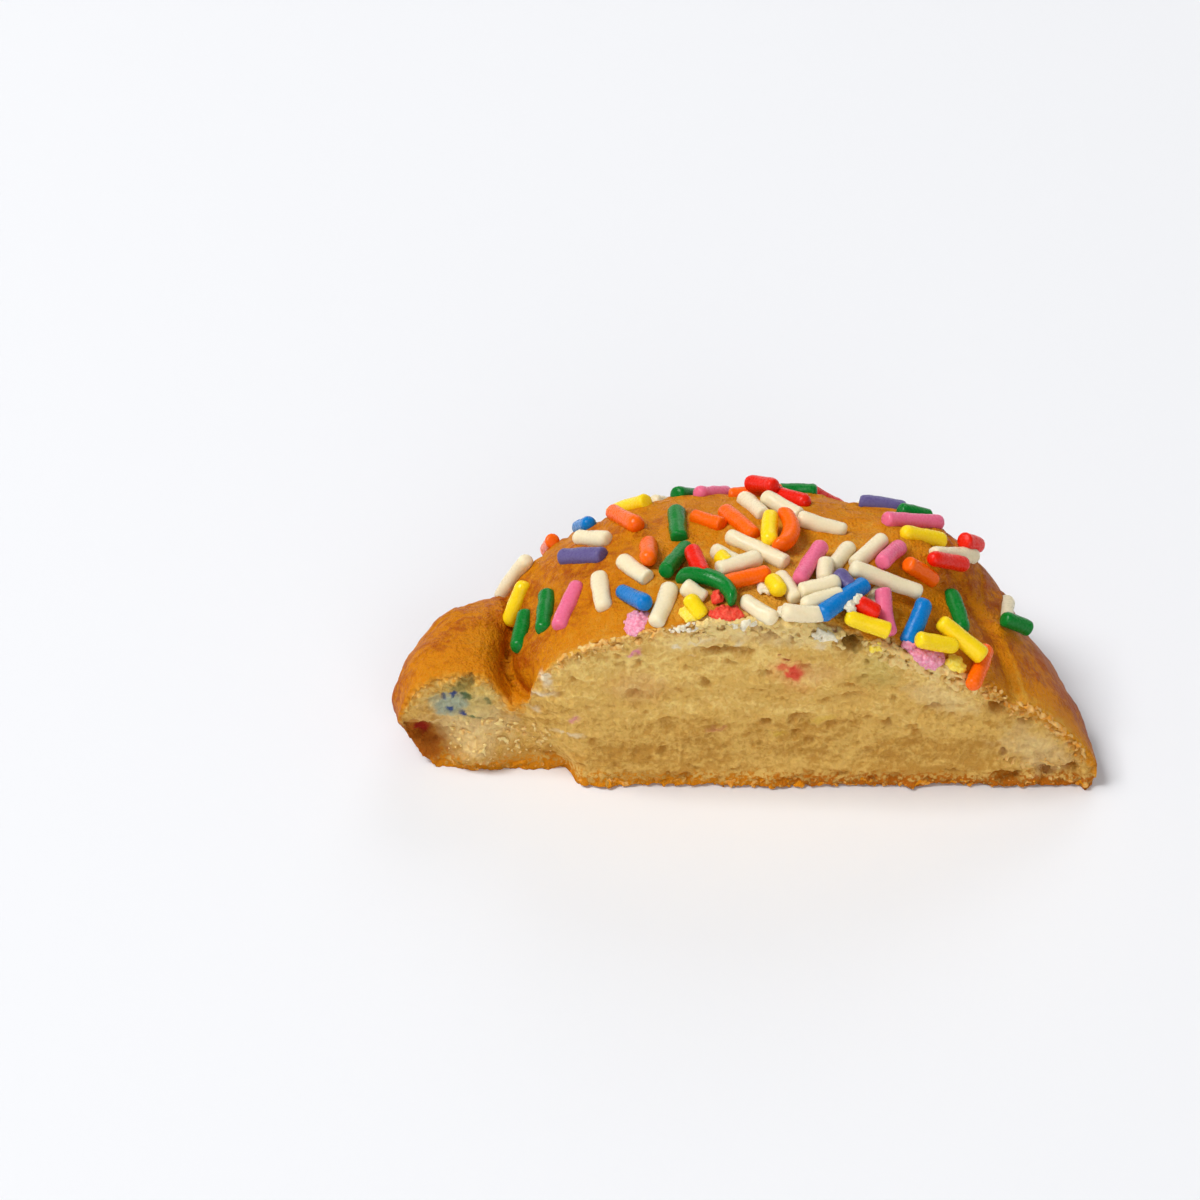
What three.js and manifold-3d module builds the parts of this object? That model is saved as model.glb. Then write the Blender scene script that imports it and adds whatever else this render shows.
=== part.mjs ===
// Half of a thick sprinkle sugar cookie, cut through the middle and lying on its flat base.
//
// The solids are drawn in cookie coordinates: x runs to the right along the cut, y runs back from
// the cut, z runs up from the surface that the cookie rests on, and the middle of the whole cookie
// is at x = 0, y = 0. The finished piece is then moved so that the origin lies under the middle of
// its bounding box. All lengths are in millimetres and all angles in degrees.

import * as THREE from "three";
import { mergeVertices } from "three/addons/utils/BufferGeometryUtils.js";
import Module from "manifold-3d";

const wasm = await Module();
wasm.setup();

// ---- Driving dimensions ---------------------------------------------------------------------

const CROWN_HEIGHT = 24;
const BOX_MIDDLE = { x: -0.14, y: 17.66 };

// The dome's slope by heading from the cookie's middle, where heading 0 is the right-hand tip.
// Reach is the rim's radius, and height is CROWN_HEIGHT * (1 - (radius / reach) ^ crown) ^ shoulder.
const HEADINGS = [
  { angle: 0, reach: 38.3, crown: 1.25, shoulder: 0.56 },
  { angle: 22, reach: 37.6, crown: 1.9, shoulder: 0.55 },
  { angle: 42, reach: 36.4, crown: 3.9, shoulder: 0.46 },
  { angle: 65, reach: 36.4, crown: 3.6, shoulder: 0.5 },
  { angle: 95, reach: 36.6, crown: 3.0, shoulder: 0.54 },
  { angle: 135, reach: 36.4, crown: 2.9, shoulder: 0.5 },
  { angle: 160, reach: 28.8, crown: 2.0, shoulder: 0.36 },
  { angle: 180, reach: 23.8, crown: 1.45, shoulder: 0.2 },
];
const DOME_FOOT = { height: 3.2, tuck: 1.1 };

// The bun that the dough pushed out on the left, beside the deep fold in the crust.
const BUN = { x: -27.2, y: 5, halfWidth: 11.3, halfDepth: 16.8, height: 13.5, crown: 4.2, shoulder: 0.42 };
const BUN_FOOT = { height: 3, tuck: 1.2, outerHeight: 4, outerTuck: 3.8 };
const FOLD = { x: -24.9, width: 1.9, share: 0.3, shallowFrom: 6, shallowTo: 20 };

// Swells, dimples and folds of the crust: middle, spread each way, and height (negative is a dent).
const CRUST_FORMS = [
  { x: 19, y: 22, spreadX: 7, spreadY: 7, height: 0.9 },
  { x: 10.8, y: 16.5, spreadX: 2.1, spreadY: 1.4, height: -0.8 },
  { x: -9, y: 24, spreadX: 6, spreadY: 4, height: 0.6 },
  { x: -16, y: 14, spreadX: 4, spreadY: 3, height: -0.5 },
];
const CREASE = { radius: 28.3, drift: 0.07, width: 0.9, depth: 1.0, fadeFrom: 40, fadeTo: 54 };
const CRUST_RELIEF = { amount: 0.35, grain: 6.5 };
const RIM_RELIEF = { amount: 0.55, grain: 7 };

// The cut: a rough plane, set back where the bun's foot broke away on the left.
const BROKEN_FOOT = { setBack: 3, baseX: -17.8, topX: -24, riseTo: 12, softness: 1.1 };
const CRUMB_RELIEF = { amount: 0.42, grainX: 4.6, grainZ: 2.1 };
const CUT_PITS = [
  { x: 10.5, z: 20.2, spreadX: 1.3, spreadZ: 1.1, depth: 1.7 },
  { x: 14.6, z: 19.5, spreadX: 0.9, spreadZ: 0.7, depth: 0.8 },
  { x: -3.2, z: 19.4, spreadX: 2.6, spreadZ: 0.5, depth: 0.7 },
  { x: 1.6, z: 21.4, spreadX: 1.7, spreadZ: 0.6, depth: 0.6 },
  { x: 26.5, z: 11, spreadX: 1.3, spreadZ: 0.6, depth: 0.8 },
  { x: 32.5, z: 2.2, spreadX: 1.5, spreadZ: 0.7, depth: 0.8 },
  { x: -34.6, z: 3.6, spreadX: 3.2, spreadZ: 2.4, depth: 2.2 },
  { x: -29, z: 2.6, spreadX: 2.6, spreadZ: 2.4, depth: -1.3 },
];
const CUTTER = { halfWidth: 42, bottom: -3, top: 28, front: -60, cell: 1.55 };

// Sprinkles: straight sugar rods with rounded ends, pressed a little into the crust.
const SPRINKLE = { radius: 0.92, sides: 6, sunkShare: 0.27, endLength: 0.55, curlSteps: 3 };
const SPRINKLE_SEED = 7;
const SCATTER = {
  count: 26, shortest: 4.4, longest: 7.4, clearance: 2, nearestCut: 9, leftOf: -8, behind: 27,
  rimShare: 0.9, tries: 2000,
};

// The sprinkles that show from the cut's side: x, y, turn, length, and for a bent one its sagitta.
const SHOWN_SPRINKLES = {
  white: [
    [-15.5, 7.5, -84, 5.5], [-12, 9, -53, 5], [-9, 3, 72, 5.5], [-6, 4, -30, 2.8], [1, 20.5, -70, 6.5],
    [4, 19.5, -45, 5.5], [8, 16, -12, 5.5], [1, 11, -40, 8], [-2, 9.5, -47, 5], [-1, 7.7, 25, 5.2],
    [4, 4.8, -68, 4.6], [10, 10.5, 60, 4.6], [8, 7.3, 87, 3.2], [7.5, 4.8, 23, 5], [8, 3, 31, 4.6],
    [13.3, 6, 73, 3.6], [0.8, 1.4, -42, 4.6], [5.6, 1.5, 20, 5], [12.8, 11, 55, 6], [14.6, 8.3, 5, 8],
    [21.5, 15.5, 35, 7.5], [28.6, 13.5, 85, 5],
  ],
  green: [
    [-21.5, 9, 86, 6.5], [-7.3, 17, -88, 6.5], [-7.6, 9.6, 67, 6.5], [-4.6, 5, -35, 7.5, 1.6],
    [6, 27, -5, 4.6], [22.4, 8.3, -78, 6.2], [18.5, 22, 13, 4.6], [30, 10.5, 15, 4.6],
  ],
  pink: [
    [-19, 7.7, 72, 6.5], [6.5, 8.4, 66, 7], [14.3, 4, -87, 5.2], [18.5, 19, 20, 7.5], [15.3, 11, 58, 5.5],
  ],
  blue: [[-12, 4.6, -61, 6.2], [9.7, 3.4, 50, 7.5], [17.6, 4.6, 64, 5.6]],
  orange: [
    [-10.5, 11.2, 89, 5.5], [1.5, 26, -3, 6], [-4, 17.3, -39, 4.2], [-0.7, 16.5, -64, 7.4],
    [4.4, 13.9, 85, 6.5, -1.1], [-0.6, 6, 20, 6], [18.4, 10.4, -8, 5.6], [24.6, 2, 72, 6.2],
  ],
  yellow: [
    [2.3, 14.5, 87, 5.6], [-2.7, 9.2, -60, 2.2], [2.7, 4.2, -67, 2.8], [12, 1.9, -10, 6], [22, 4.2, -15, 6.5],
    [19.8, 2.2, 9, 5.5], [18.4, 15.7, 20, 6], [-5.9, 1.6, -49, 3.4],
  ],
  red: [
    [-5.5, 8.7, -76, 5.2], [4.8, 22.6, -45, 6.4], [2, 24.6, -60, 4.6], [12.3, 3.3, -16, 2.8],
    [21.8, 13.1, 20, 7], [24, 18, 50, 5.2],
  ],
  purple: [[10.1, 6.1, -54, 3], [15.2, 23.5, -14, 5.2]],
};

// How finely the surfaces are faceted.
const DOME_FACETS = { backStep: 3.2, frontStep: 24, rings: 17, innerRing: 2.5 };
const BUN_FACETS = { around: 34, rings: 11, innerRing: 2 };
const BELOW_BASE = 2;

const CRUST_COLOUR = new THREE.Color().setRGB(0.79, 0.55, 0.22, THREE.SRGBColorSpace);

// ---- Small helpers ---------------------------------------------------------------------------

const radians = THREE.MathUtils.degToRad;
const smooth = THREE.MathUtils.smoothstep;

/** A repeatable hash of a lattice point, from -1 to 1. */
function latticeValue(ix, iy, iz, seed) {
  let hash = Math.imul(ix, 374761393) + Math.imul(iy, 668265263)
    + Math.imul(iz, 2147483647) + Math.imul(seed, 1274126177);
  hash = Math.imul(hash ^ (hash >>> 13), 1274126177);
  return ((hash ^ (hash >>> 16)) >>> 0) / 2147483648 - 1;
}

/** Smooth noise at a point, from -1 to 1, with lumps one unit across. */
function noise(x, y, z, seed) {
  const corner = [Math.floor(x), Math.floor(y), Math.floor(z)];
  const share = [x, y, z].map((value, axis) => smooth(value - corner[axis], 0, 1));
  let total = 0;
  for (let dx = 0; dx < 2; dx += 1) {
    for (let dy = 0; dy < 2; dy += 1) {
      for (let dz = 0; dz < 2; dz += 1) {
        const weight = (dx ? share[0] : 1 - share[0])
          * (dy ? share[1] : 1 - share[1])
          * (dz ? share[2] : 1 - share[2]);
        total += weight * latticeValue(corner[0] + dx, corner[1] + dy, corner[2] + dz, seed);
      }
    }
  }
  return total;
}

/** Two octaves of noise, the second half as large and twice as fine. */
function roughness(x, y, z, seed) {
  return (noise(x, y, z, seed) + 0.5 * noise(2 * x, 2 * y, 2 * z, seed + 1)) / 1.5;
}

/** A repeatable stream of numbers from 0 to 1. */
function seededRandom(seed) {
  let state = seed;
  return () => {
    state = (state + 0x6d2b79f5) | 0;
    let value = Math.imul(state ^ (state >>> 15), 1 | state);
    value = (value + Math.imul(value ^ (value >>> 7), 61 | value)) ^ value;
    return ((value ^ (value >>> 14)) >>> 0) / 4294967296;
  };
}

/** A closed solid from its corner points and triangles. */
function solidFrom(points, triangles) {
  const vertProperties = Float32Array.from(points.flatMap((point) => [point.x, point.y, point.z]));
  const triVerts = Uint32Array.from(triangles.flat());
  return new wasm.Manifold(new wasm.Mesh({ numProp: 3, vertProperties, triVerts }));
}

/** A closed solid from a geometry whose surface is closed, once its doubled points are merged. */
function solidFromGeometry(geometry) {
  geometry.deleteAttribute("normal");
  geometry.deleteAttribute("uv");
  const merged = mergeVertices(geometry, 1e-4);
  const corners = merged.getAttribute("position");
  const points = [];
  for (let i = 0; i < corners.count; i += 1) points.push(new THREE.Vector3().fromBufferAttribute(corners, i));
  const triangles = [];
  for (let i = 0; i < merged.index.count; i += 3) {
    const triangle = [0, 1, 2].map((corner) => merged.index.getX(i + corner));
    if (new Set(triangle).size === 3) triangles.push(triangle);
  }
  return solidFrom(points, triangles);
}

/** A solid skinned over level rings that run anticlockwise, from a top point down to a bottom point. */
function loft(top, rings, bottom) {
  const around = rings[0].length;
  const points = [top, ...rings.flat(), bottom];
  const at = (ring, step) => 1 + ring * around + (step % around);
  const last = points.length - 1;
  const triangles = [];
  for (let step = 0; step < around; step += 1) {
    triangles.push([0, at(0, step), at(0, step + 1)]);
    for (let ring = 0; ring + 1 < rings.length; ring += 1) {
      triangles.push([at(ring, step), at(ring + 1, step), at(ring + 1, step + 1)]);
      triangles.push([at(ring, step), at(ring + 1, step + 1), at(ring, step + 1)]);
    }
    triangles.push([last, at(rings.length - 1, step + 1), at(rings.length - 1, step)]);
  }
  return solidFrom(points, triangles);
}

// ---- The crust's form ------------------------------------------------------------------------

/** Reach, crown and shoulder at a heading, blended between the named ones. */
function slopeAt(heading) {
  const angle = Math.abs(THREE.MathUtils.euclideanModulo(heading + 180, 360) - 180);
  const next = Math.max(1, HEADINGS.findIndex((entry) => entry.angle >= angle));
  const [from, to] = [HEADINGS[next - 1], HEADINGS[next]];
  const share = smooth(angle, from.angle, to.angle);
  const mixed = (key) => THREE.MathUtils.lerp(from[key], to[key], share);
  return { reach: mixed("reach"), crown: mixed("crown"), shoulder: mixed("shoulder") };
}

/** Height of a dome's smooth skin at a radius. */
function domeHeight(radius, height, { reach, crown, shoulder }) {
  return height * Math.max(0, 1 - (radius / reach) ** crown) ** shoulder;
}

/** What swells, dimples, the crease and the baked unevenness add to the dome's height. */
function crustRelief(x, y, height) {
  let change = CRUST_RELIEF.amount * roughness(x / CRUST_RELIEF.grain, y / CRUST_RELIEF.grain, 0, 11);
  for (const form of CRUST_FORMS) {
    change += form.height
      * Math.exp(-(((x - form.x) / form.spreadX) ** 2) - ((y - form.y) / form.spreadY) ** 2);
  }
  const heading = Math.abs(THREE.MathUtils.radToDeg(Math.atan2(y, x)));
  const offCrease = (Math.hypot(x, y) - CREASE.radius + CREASE.drift * heading) / CREASE.width;
  const fade = 1 - smooth(heading, CREASE.fadeFrom, CREASE.fadeTo);
  change -= CREASE.depth * Math.exp(-(offCrease ** 2)) * fade;
  return change * smooth(height, 1, 7);
}

/** Height of the finished crust over a place on the base. */
function crustHeight(x, y) {
  const slope = slopeAt(THREE.MathUtils.radToDeg(Math.atan2(y, x)));
  const height = domeHeight(Math.hypot(x, y), CROWN_HEIGHT, slope);
  return height + crustRelief(x, y, height);
}

/** Radii from the middle to the rim whose skin points lie evenly along the slope. */
function evenRadii(slope, height, innermost, count) {
  const fine = 400;
  const track = [];
  let length = 0;
  for (let i = 0; i <= fine; i += 1) {
    const turn = (i / fine) * Math.PI / 2;
    const radius = slope.reach * Math.sin(turn) ** (2 / slope.crown);
    const level = height * Math.max(0, Math.cos(turn)) ** (2 * slope.shoulder);
    const before = track[i - 1];
    if (before) length += Math.hypot(radius - before.radius, level - before.level);
    track.push({ radius, level, length });
  }
  const start = track.find((point) => point.radius >= innermost).length;
  return Array.from({ length: count }, (_, k) => {
    const wanted = start + (length - start) * (k / (count - 1));
    return track.find((point) => point.length >= wanted - 1e-9) ?? track[fine];
  });
}

/** How far the rim tucks in towards the base at a height. */
function footTuck(height, footHeight, tuck) {
  return tuck * Math.max(0, 1 - height / footHeight) ** 2;
}

/** The whole cookie's dome, as a solid that reaches a little below its base. */
function makeDome() {
  const headings = [];
  for (let angle = -6; angle <= 186; angle += DOME_FACETS.backStep) headings.push(angle);
  const { frontStep } = DOME_FACETS;
  for (let angle = 186 + frontStep; angle < 354; angle += frontStep) headings.push(angle);
  const columns = headings.map((heading) => {
    const slope = slopeAt(heading);
    const [cos, sin] = [Math.cos(radians(heading)), Math.sin(radians(heading))];
    const column = evenRadii(slope, CROWN_HEIGHT, DOME_FACETS.innerRing, DOME_FACETS.rings);
    const points = column.map(({ radius, level }) => {
      const wave = RIM_RELIEF.amount * smooth(radius, 24, 36)
        * roughness(cos * 40 / RIM_RELIEF.grain, sin * 40 / RIM_RELIEF.grain, level / RIM_RELIEF.grain, 23);
      const out = radius - footTuck(level, DOME_FOOT.height, DOME_FOOT.tuck) + wave;
      return new THREE.Vector3(out * cos, out * sin, level + crustRelief(out * cos, out * sin, level));
    });
    const foot = points[points.length - 1].clone();
    foot.z = -BELOW_BASE;
    return [...points, foot];
  });
  const rings = columns[0].map((_, ring) => columns.map((column) => column[ring]));
  return loft(new THREE.Vector3(0, 0, crustHeight(0, 0)), rings, new THREE.Vector3(0, 0, -BELOW_BASE));
}

/** Height of the fold's floor as a share of the bun's own height. */
function foldShare(x, y) {
  const across = Math.exp(-(((x - FOLD.x) / FOLD.width) ** 2));
  return 1 - FOLD.share * across * (1 - smooth(y, FOLD.shallowFrom, FOLD.shallowTo));
}

/** The bun on the left, which the dome overlaps. */
function makeBun() {
  const columns = Array.from({ length: BUN_FACETS.around }, (_, step) => {
    const heading = (step / BUN_FACETS.around) * 2 * Math.PI;
    const [cos, sin] = [Math.cos(heading), Math.sin(heading)];
    const reach = 1 / Math.hypot(cos / BUN.halfWidth, sin / BUN.halfDepth);
    const outward = Math.max(0, -cos);
    const footHeight = BUN_FOOT.height + BUN_FOOT.outerHeight * outward;
    const tuck = BUN_FOOT.tuck + BUN_FOOT.outerTuck * outward;
    const slope = { reach, crown: BUN.crown, shoulder: BUN.shoulder };
    const column = evenRadii(slope, BUN.height, BUN_FACETS.innerRing, BUN_FACETS.rings);
    const points = column.map(({ radius, level }) => {
      const wave = RIM_RELIEF.amount * smooth(radius, 4, 10)
        * roughness(cos * 2.5, sin * 2.5, level / RIM_RELIEF.grain, 31);
      const out = radius - footTuck(level, footHeight, tuck) + wave;
      const [x, y] = [BUN.x + out * cos, BUN.y + out * sin];
      const relief = CRUST_RELIEF.amount * roughness(x / CRUST_RELIEF.grain, y / CRUST_RELIEF.grain, 0, 11);
      return new THREE.Vector3(x, y, level * foldShare(x, y) + relief * smooth(level, 1, 7));
    });
    const foot = points[points.length - 1].clone();
    foot.z = -BELOW_BASE;
    return [...points, foot];
  });
  const rings = columns[0].map((_, ring) => columns.map((column) => column[ring]));
  const top = new THREE.Vector3(BUN.x, BUN.y, BUN.height * foldShare(BUN.x, BUN.y));
  return loft(top, rings, new THREE.Vector3(BUN.x, BUN.y, -BELOW_BASE));
}

// ---- The cut ---------------------------------------------------------------------------------

/** How far the crumb lies behind the plane of the cut, at a place on the cut. */
function crumbSetBack(x, z) {
  const rough = roughness(x / CRUMB_RELIEF.grainX, 0, z / CRUMB_RELIEF.grainZ, 41);
  let setBack = CRUMB_RELIEF.amount * (0.5 + 0.5 * rough);
  for (const pit of CUT_PITS) {
    setBack += pit.depth * Math.exp(-(((x - pit.x) / pit.spreadX) ** 2) - ((z - pit.z) / pit.spreadZ) ** 2);
  }
  const wander = 0.8 * noise(z / 2.5, 0, 0, 47);
  const rise = smooth(z, 0, BROKEN_FOOT.riseTo);
  const edge = THREE.MathUtils.lerp(BROKEN_FOOT.baseX, BROKEN_FOOT.topX, rise) + wander;
  const broken = 1 - smooth(x, edge - BROKEN_FOOT.softness, edge + BROKEN_FOOT.softness);
  return setBack + BROKEN_FOOT.setBack * broken;
}

/** A block in front of the cut, whose back face has the crumb's relief. */
function makeCutter() {
  const across = Math.round(2 * CUTTER.halfWidth / CUTTER.cell);
  const upward = Math.round((CUTTER.top - CUTTER.bottom) / CUTTER.cell);
  const points = [];
  const sheets = [(x, z) => crumbSetBack(x, z), () => CUTTER.front];
  for (const depthAt of sheets) {
    for (let i = 0; i <= across; i += 1) {
      for (let k = 0; k <= upward; k += 1) {
        const x = -CUTTER.halfWidth + 2 * CUTTER.halfWidth * i / across;
        const z = CUTTER.bottom + (CUTTER.top - CUTTER.bottom) * k / upward;
        points.push(new THREE.Vector3(x, depthAt(x, z), z));
      }
    }
  }
  const at = (sheet, i, k) => (sheet * (across + 1) + i) * (upward + 1) + k;
  const triangles = [];
  const quad = (a, b, c, d) => triangles.push([a, b, c], [a, c, d]);
  for (let i = 0; i < across; i += 1) {
    for (let k = 0; k < upward; k += 1) {
      quad(at(0, i, k), at(0, i, k + 1), at(0, i + 1, k + 1), at(0, i + 1, k));
      quad(at(1, i, k), at(1, i + 1, k), at(1, i + 1, k + 1), at(1, i, k + 1));
    }
    quad(at(0, i, 0), at(0, i + 1, 0), at(1, i + 1, 0), at(1, i, 0));
    quad(at(0, i, upward), at(1, i, upward), at(1, i + 1, upward), at(0, i + 1, upward));
  }
  for (let k = 0; k < upward; k += 1) {
    quad(at(0, 0, k), at(1, 0, k), at(1, 0, k + 1), at(0, 0, k + 1));
    quad(at(0, across, k), at(0, across, k + 1), at(1, across, k + 1), at(1, across, k));
  }
  return solidFrom(points, triangles);
}

/** The block under the base, which leaves it flat. */
function makeTable() {
  const size = { across: 120, deep: 120, thick: 10 };
  const block = new THREE.BoxGeometry(size.across, size.deep, size.thick);
  return solidFromGeometry(block.translate(0, 0, -size.thick / 2));
}

// ---- Sprinkles -------------------------------------------------------------------------------

/** One sprinkle's solid, along z and centred, bent by its sagitta. */
function sprinkleGeometry(length, sagitta) {
  const { radius, sides, endLength, curlSteps } = SPRINKLE;
  const half = length / 2;
  const shoulder = half - endLength;
  const steps = sagitta ? curlSteps : 1;
  const outline = [new THREE.Vector2(0, -half)];
  for (let step = 0; step <= steps; step += 1) {
    outline.push(new THREE.Vector2(radius, -shoulder + 2 * shoulder * step / steps));
  }
  outline.push(new THREE.Vector2(0, half));
  const rod = new THREE.LatheGeometry(outline, sides);
  rod.rotateX(Math.PI / 2);
  const corners = rod.getAttribute("position");
  for (let i = 0; i < corners.count; i += 1) {
    const along = corners.getZ(i) / half;
    corners.setX(i, corners.getX(i) + sagitta * (0.5 - along * along));
  }
  return rod;
}

/** A sprinkle lying on the crust, as a solid. */
function makeSprinkle({ x, y, turn, length, sagitta = 0 }) {
  const reach = length * 0.35;
  const [cos, sin] = [Math.cos(radians(turn)), Math.sin(radians(turn))];
  const onCrust = (along) => {
    const place = [x + along * cos, y + along * sin];
    return new THREE.Vector3(...place, crustHeight(...place));
  };
  const ends = [onCrust(-reach), onCrust(reach)];
  const along = ends[1].clone().sub(ends[0]).normalize();
  const level = new THREE.Vector3(-sin, cos, 0);
  const up = along.clone().cross(level);
  const middle = ends[0].add(ends[1]).multiplyScalar(0.5);
  middle.z = Math.max(middle.z, crustHeight(x, y));
  middle.addScaledVector(up, SPRINKLE.radius * (1 - 2 * SPRINKLE.sunkShare));
  const rod = sprinkleGeometry(length, sagitta);
  rod.applyMatrix4(new THREE.Matrix4().makeBasis(level, up, along).setPosition(middle));
  return solidFromGeometry(rod);
}

/** Shortest distance between two sprinkles' middle lines, seen from above. */
function gapBetween(first, second) {
  const samples = [-1, -0.5, 0, 0.5, 1];
  let nearest = Infinity;
  for (const a of samples) {
    for (const b of samples) {
      const dx = first.x + a * first.halfX - second.x - b * second.halfX;
      const dy = first.y + a * first.halfY - second.y - b * second.halfY;
      nearest = Math.min(nearest, Math.hypot(dx, dy));
    }
  }
  return nearest;
}

/** A sprinkle's place with its half length in x and y, for the spacing test. */
function withHalves(place) {
  const half = place.length / 2;
  return {
    ...place,
    halfX: half * Math.cos(radians(place.turn)),
    halfY: half * Math.sin(radians(place.turn)),
  };
}

/** The sprinkles behind the crown and on the left: the longest first, each clear of the others. */
function scatterSprinkles(taken) {
  const random = seededRandom(SPRINKLE_SEED);
  const lengths = Array.from({ length: SCATTER.count }, () =>
    THREE.MathUtils.lerp(SCATTER.shortest, SCATTER.longest, random()));
  lengths.sort((first, second) => second - first);
  const placed = [];
  for (const length of lengths) {
    for (let attempt = 0; attempt < SCATTER.tries; attempt += 1) {
      const [x, y] = [-38 + 76 * random(), SCATTER.nearestCut + 30 * random()];
      const place = withHalves({ x, y, turn: 180 * random() - 90, length });
      const { reach } = slopeAt(THREE.MathUtils.radToDeg(Math.atan2(y, x)));
      const onCrown = Math.hypot(x, y) < SCATTER.rimShare * reach;
      const unshown = x < SCATTER.leftOf || y > SCATTER.behind;
      const isClear = (other) => gapBetween(place, other) > SCATTER.clearance;
      if (onCrown && unshown && taken.concat(placed).every(isClear)) {
        placed.push(place);
        break;
      }
    }
  }
  return placed;
}

/** Every sprinkle on the half, the shown ones first. */
function allSprinkles() {
  const shown = Object.values(SHOWN_SPRINKLES).flat()
    .map(([x, y, turn, length, sagitta]) => withHalves({ x, y, turn, length, sagitta }));
  return [...shown, ...scatterSprinkles(shown)];
}

// ---- The finished half -----------------------------------------------------------------------

/** The largest of a solid's separate shells, which leaves out loose scraps and fills sealed hollows. */
function largestShell(solid) {
  return solid.decompose().reduce((largest, shell) => (shell.volume() > largest.volume() ? shell : largest));
}

/** The half cookie with its sprinkles, as one solid. */
function makeHalf() {
  let half = makeDome().add(makeBun()).subtract(makeCutter());
  for (const sprinkle of allSprinkles()) half = half.add(makeSprinkle(sprinkle));
  return largestShell(half.subtract(makeTable()));
}

/** A geometry from a solid. */
function geometryFrom(solid) {
  const { vertProperties, triVerts } = solid.getMesh();
  const geometry = new THREE.BufferGeometry();
  geometry.setAttribute("position", new THREE.BufferAttribute(vertProperties, 3));
  geometry.setIndex(new THREE.BufferAttribute(triVerts, 1));
  geometry.computeVertexNormals();
  return geometry;
}

const crust = new THREE.MeshStandardMaterial({ color: CRUST_COLOUR, roughness: 0.62, metalness: 0 });
const cookieHalf = new THREE.Mesh(geometryFrom(makeHalf()), crust);
cookieHalf.name = "cookie_half";
cookieHalf.position.set(-BOX_MIDDLE.x, -BOX_MIDDLE.y, 0);

const group = new THREE.Group();
group.name = "sprinkle_sugar_cookie_half";
group.add(cookieHalf);

export default group;
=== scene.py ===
"""Half of a thick sprinkle sugar cookie, cut through the middle and lying on its flat base.

The crust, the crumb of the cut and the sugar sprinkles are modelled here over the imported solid. Forms are
worked out in cookie coordinates, in millimetres: x runs right along the cut, y runs back from the cut, z
runs up from the surface that the cookie rests on, and the middle of the whole cookie is x = 0, y = 0.
"""

import logging
import math
from dataclasses import dataclass, field
from enum import Enum
from typing import Callable, Iterator, NamedTuple, Sequence

import bpy
import numpy as np
from mathutils import Matrix, Vector


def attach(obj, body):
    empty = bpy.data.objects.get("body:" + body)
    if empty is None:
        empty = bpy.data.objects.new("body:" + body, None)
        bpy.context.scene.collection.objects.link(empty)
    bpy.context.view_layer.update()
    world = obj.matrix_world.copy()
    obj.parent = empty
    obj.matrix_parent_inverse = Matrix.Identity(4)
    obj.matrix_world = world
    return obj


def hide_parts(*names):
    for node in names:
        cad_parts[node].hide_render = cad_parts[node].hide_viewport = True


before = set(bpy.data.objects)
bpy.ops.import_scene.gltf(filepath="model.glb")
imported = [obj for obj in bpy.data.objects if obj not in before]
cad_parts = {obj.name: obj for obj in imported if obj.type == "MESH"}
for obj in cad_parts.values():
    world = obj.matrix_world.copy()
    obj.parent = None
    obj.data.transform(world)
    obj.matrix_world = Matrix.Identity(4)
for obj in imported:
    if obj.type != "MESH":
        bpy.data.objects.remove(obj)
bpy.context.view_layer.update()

Array = np.ndarray
Pair = tuple[float, float]
Triple = tuple[float, float, float]
Tone = tuple[int, int, int]
Face = tuple[int, ...]
Piece, Material = bpy.types.Object, bpy.types.Material
Node, Socket, NodeTree = bpy.types.Node, bpy.types.NodeSocket, bpy.types.NodeTree

LOG = logging.getLogger("cookie")
MM = 0.001
NODE = "cookie_half"
BODY = "root"
# Where the frame's origin lies in cookie coordinates: under the middle of the half's box.
BOX_MIDDLE = (-0.14, 17.66)


class SugarColour(Enum):
    """The colours that the sprinkles come in."""

    WHITE = "white"
    GREEN = "green"
    PINK = "pink"
    BLUE = "blue"
    ORANGE = "orange"
    YELLOW = "yellow"
    RED = "red"
    PURPLE = "purple"


# ---- Repeatable noise ------------------------------------------------------------------------

WORD = 0xFFFFFFFF
CELL_FACTORS = (374761393, 668265263, 2147483647)
HASH_FACTOR = 1274126177
RANDOM_STEP = 0x6D2B79F5
FAR_OFF = 9.0


def smooth(value: Array, low: float, high: float) -> Array:
    """A smooth step from 0 at low to 1 at high."""
    share = np.clip((np.asarray(value, float) - low) / (high - low), 0.0, 1.0)
    return share * share * (3.0 - 2.0 * share)


def lattice_value(cell: Array, seed: int) -> Array:
    """A repeatable hash of lattice points.

    Args:
        cell: Whole-number lattice points, with x, y and z along the last axis.
        seed: Which of the hashes to use.

    Returns:
        A value from -1 to 1 for each point.
    """
    total = sum(cell[..., axis] * factor for axis, factor in enumerate(CELL_FACTORS))
    hashed = (total + seed * HASH_FACTOR) & WORD
    hashed = ((hashed ^ (hashed >> 13)) * HASH_FACTOR) & WORD
    return 2.0 * ((hashed ^ (hashed >> 16)) & WORD) / (WORD + 1) - 1.0


def noise(points: Array, seed: int) -> Array:
    """Smooth noise with lumps one unit across.

    Args:
        points: Places, with x, y and z along the last axis.
        seed: Which of the noises to use.

    Returns:
        A value from -1 to 1 for each place.
    """
    corner = np.floor(points).astype(np.int64)
    share = smooth(points - corner, 0.0, 1.0)
    total = np.zeros(points.shape[:-1])
    for step in np.ndindex(2, 2, 2):
        weight = np.prod(np.where(np.array(step) == 1, share, 1.0 - share), axis=-1)
        total += weight * lattice_value(corner + np.array(step), seed)
    return total


def roughness(points: Array, seed: int) -> Array:
    """Two octaves of noise, the second half as large and twice as fine."""
    return (noise(points, seed) + 0.5 * noise(2.0 * points, seed + 1)) / 1.5


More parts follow.
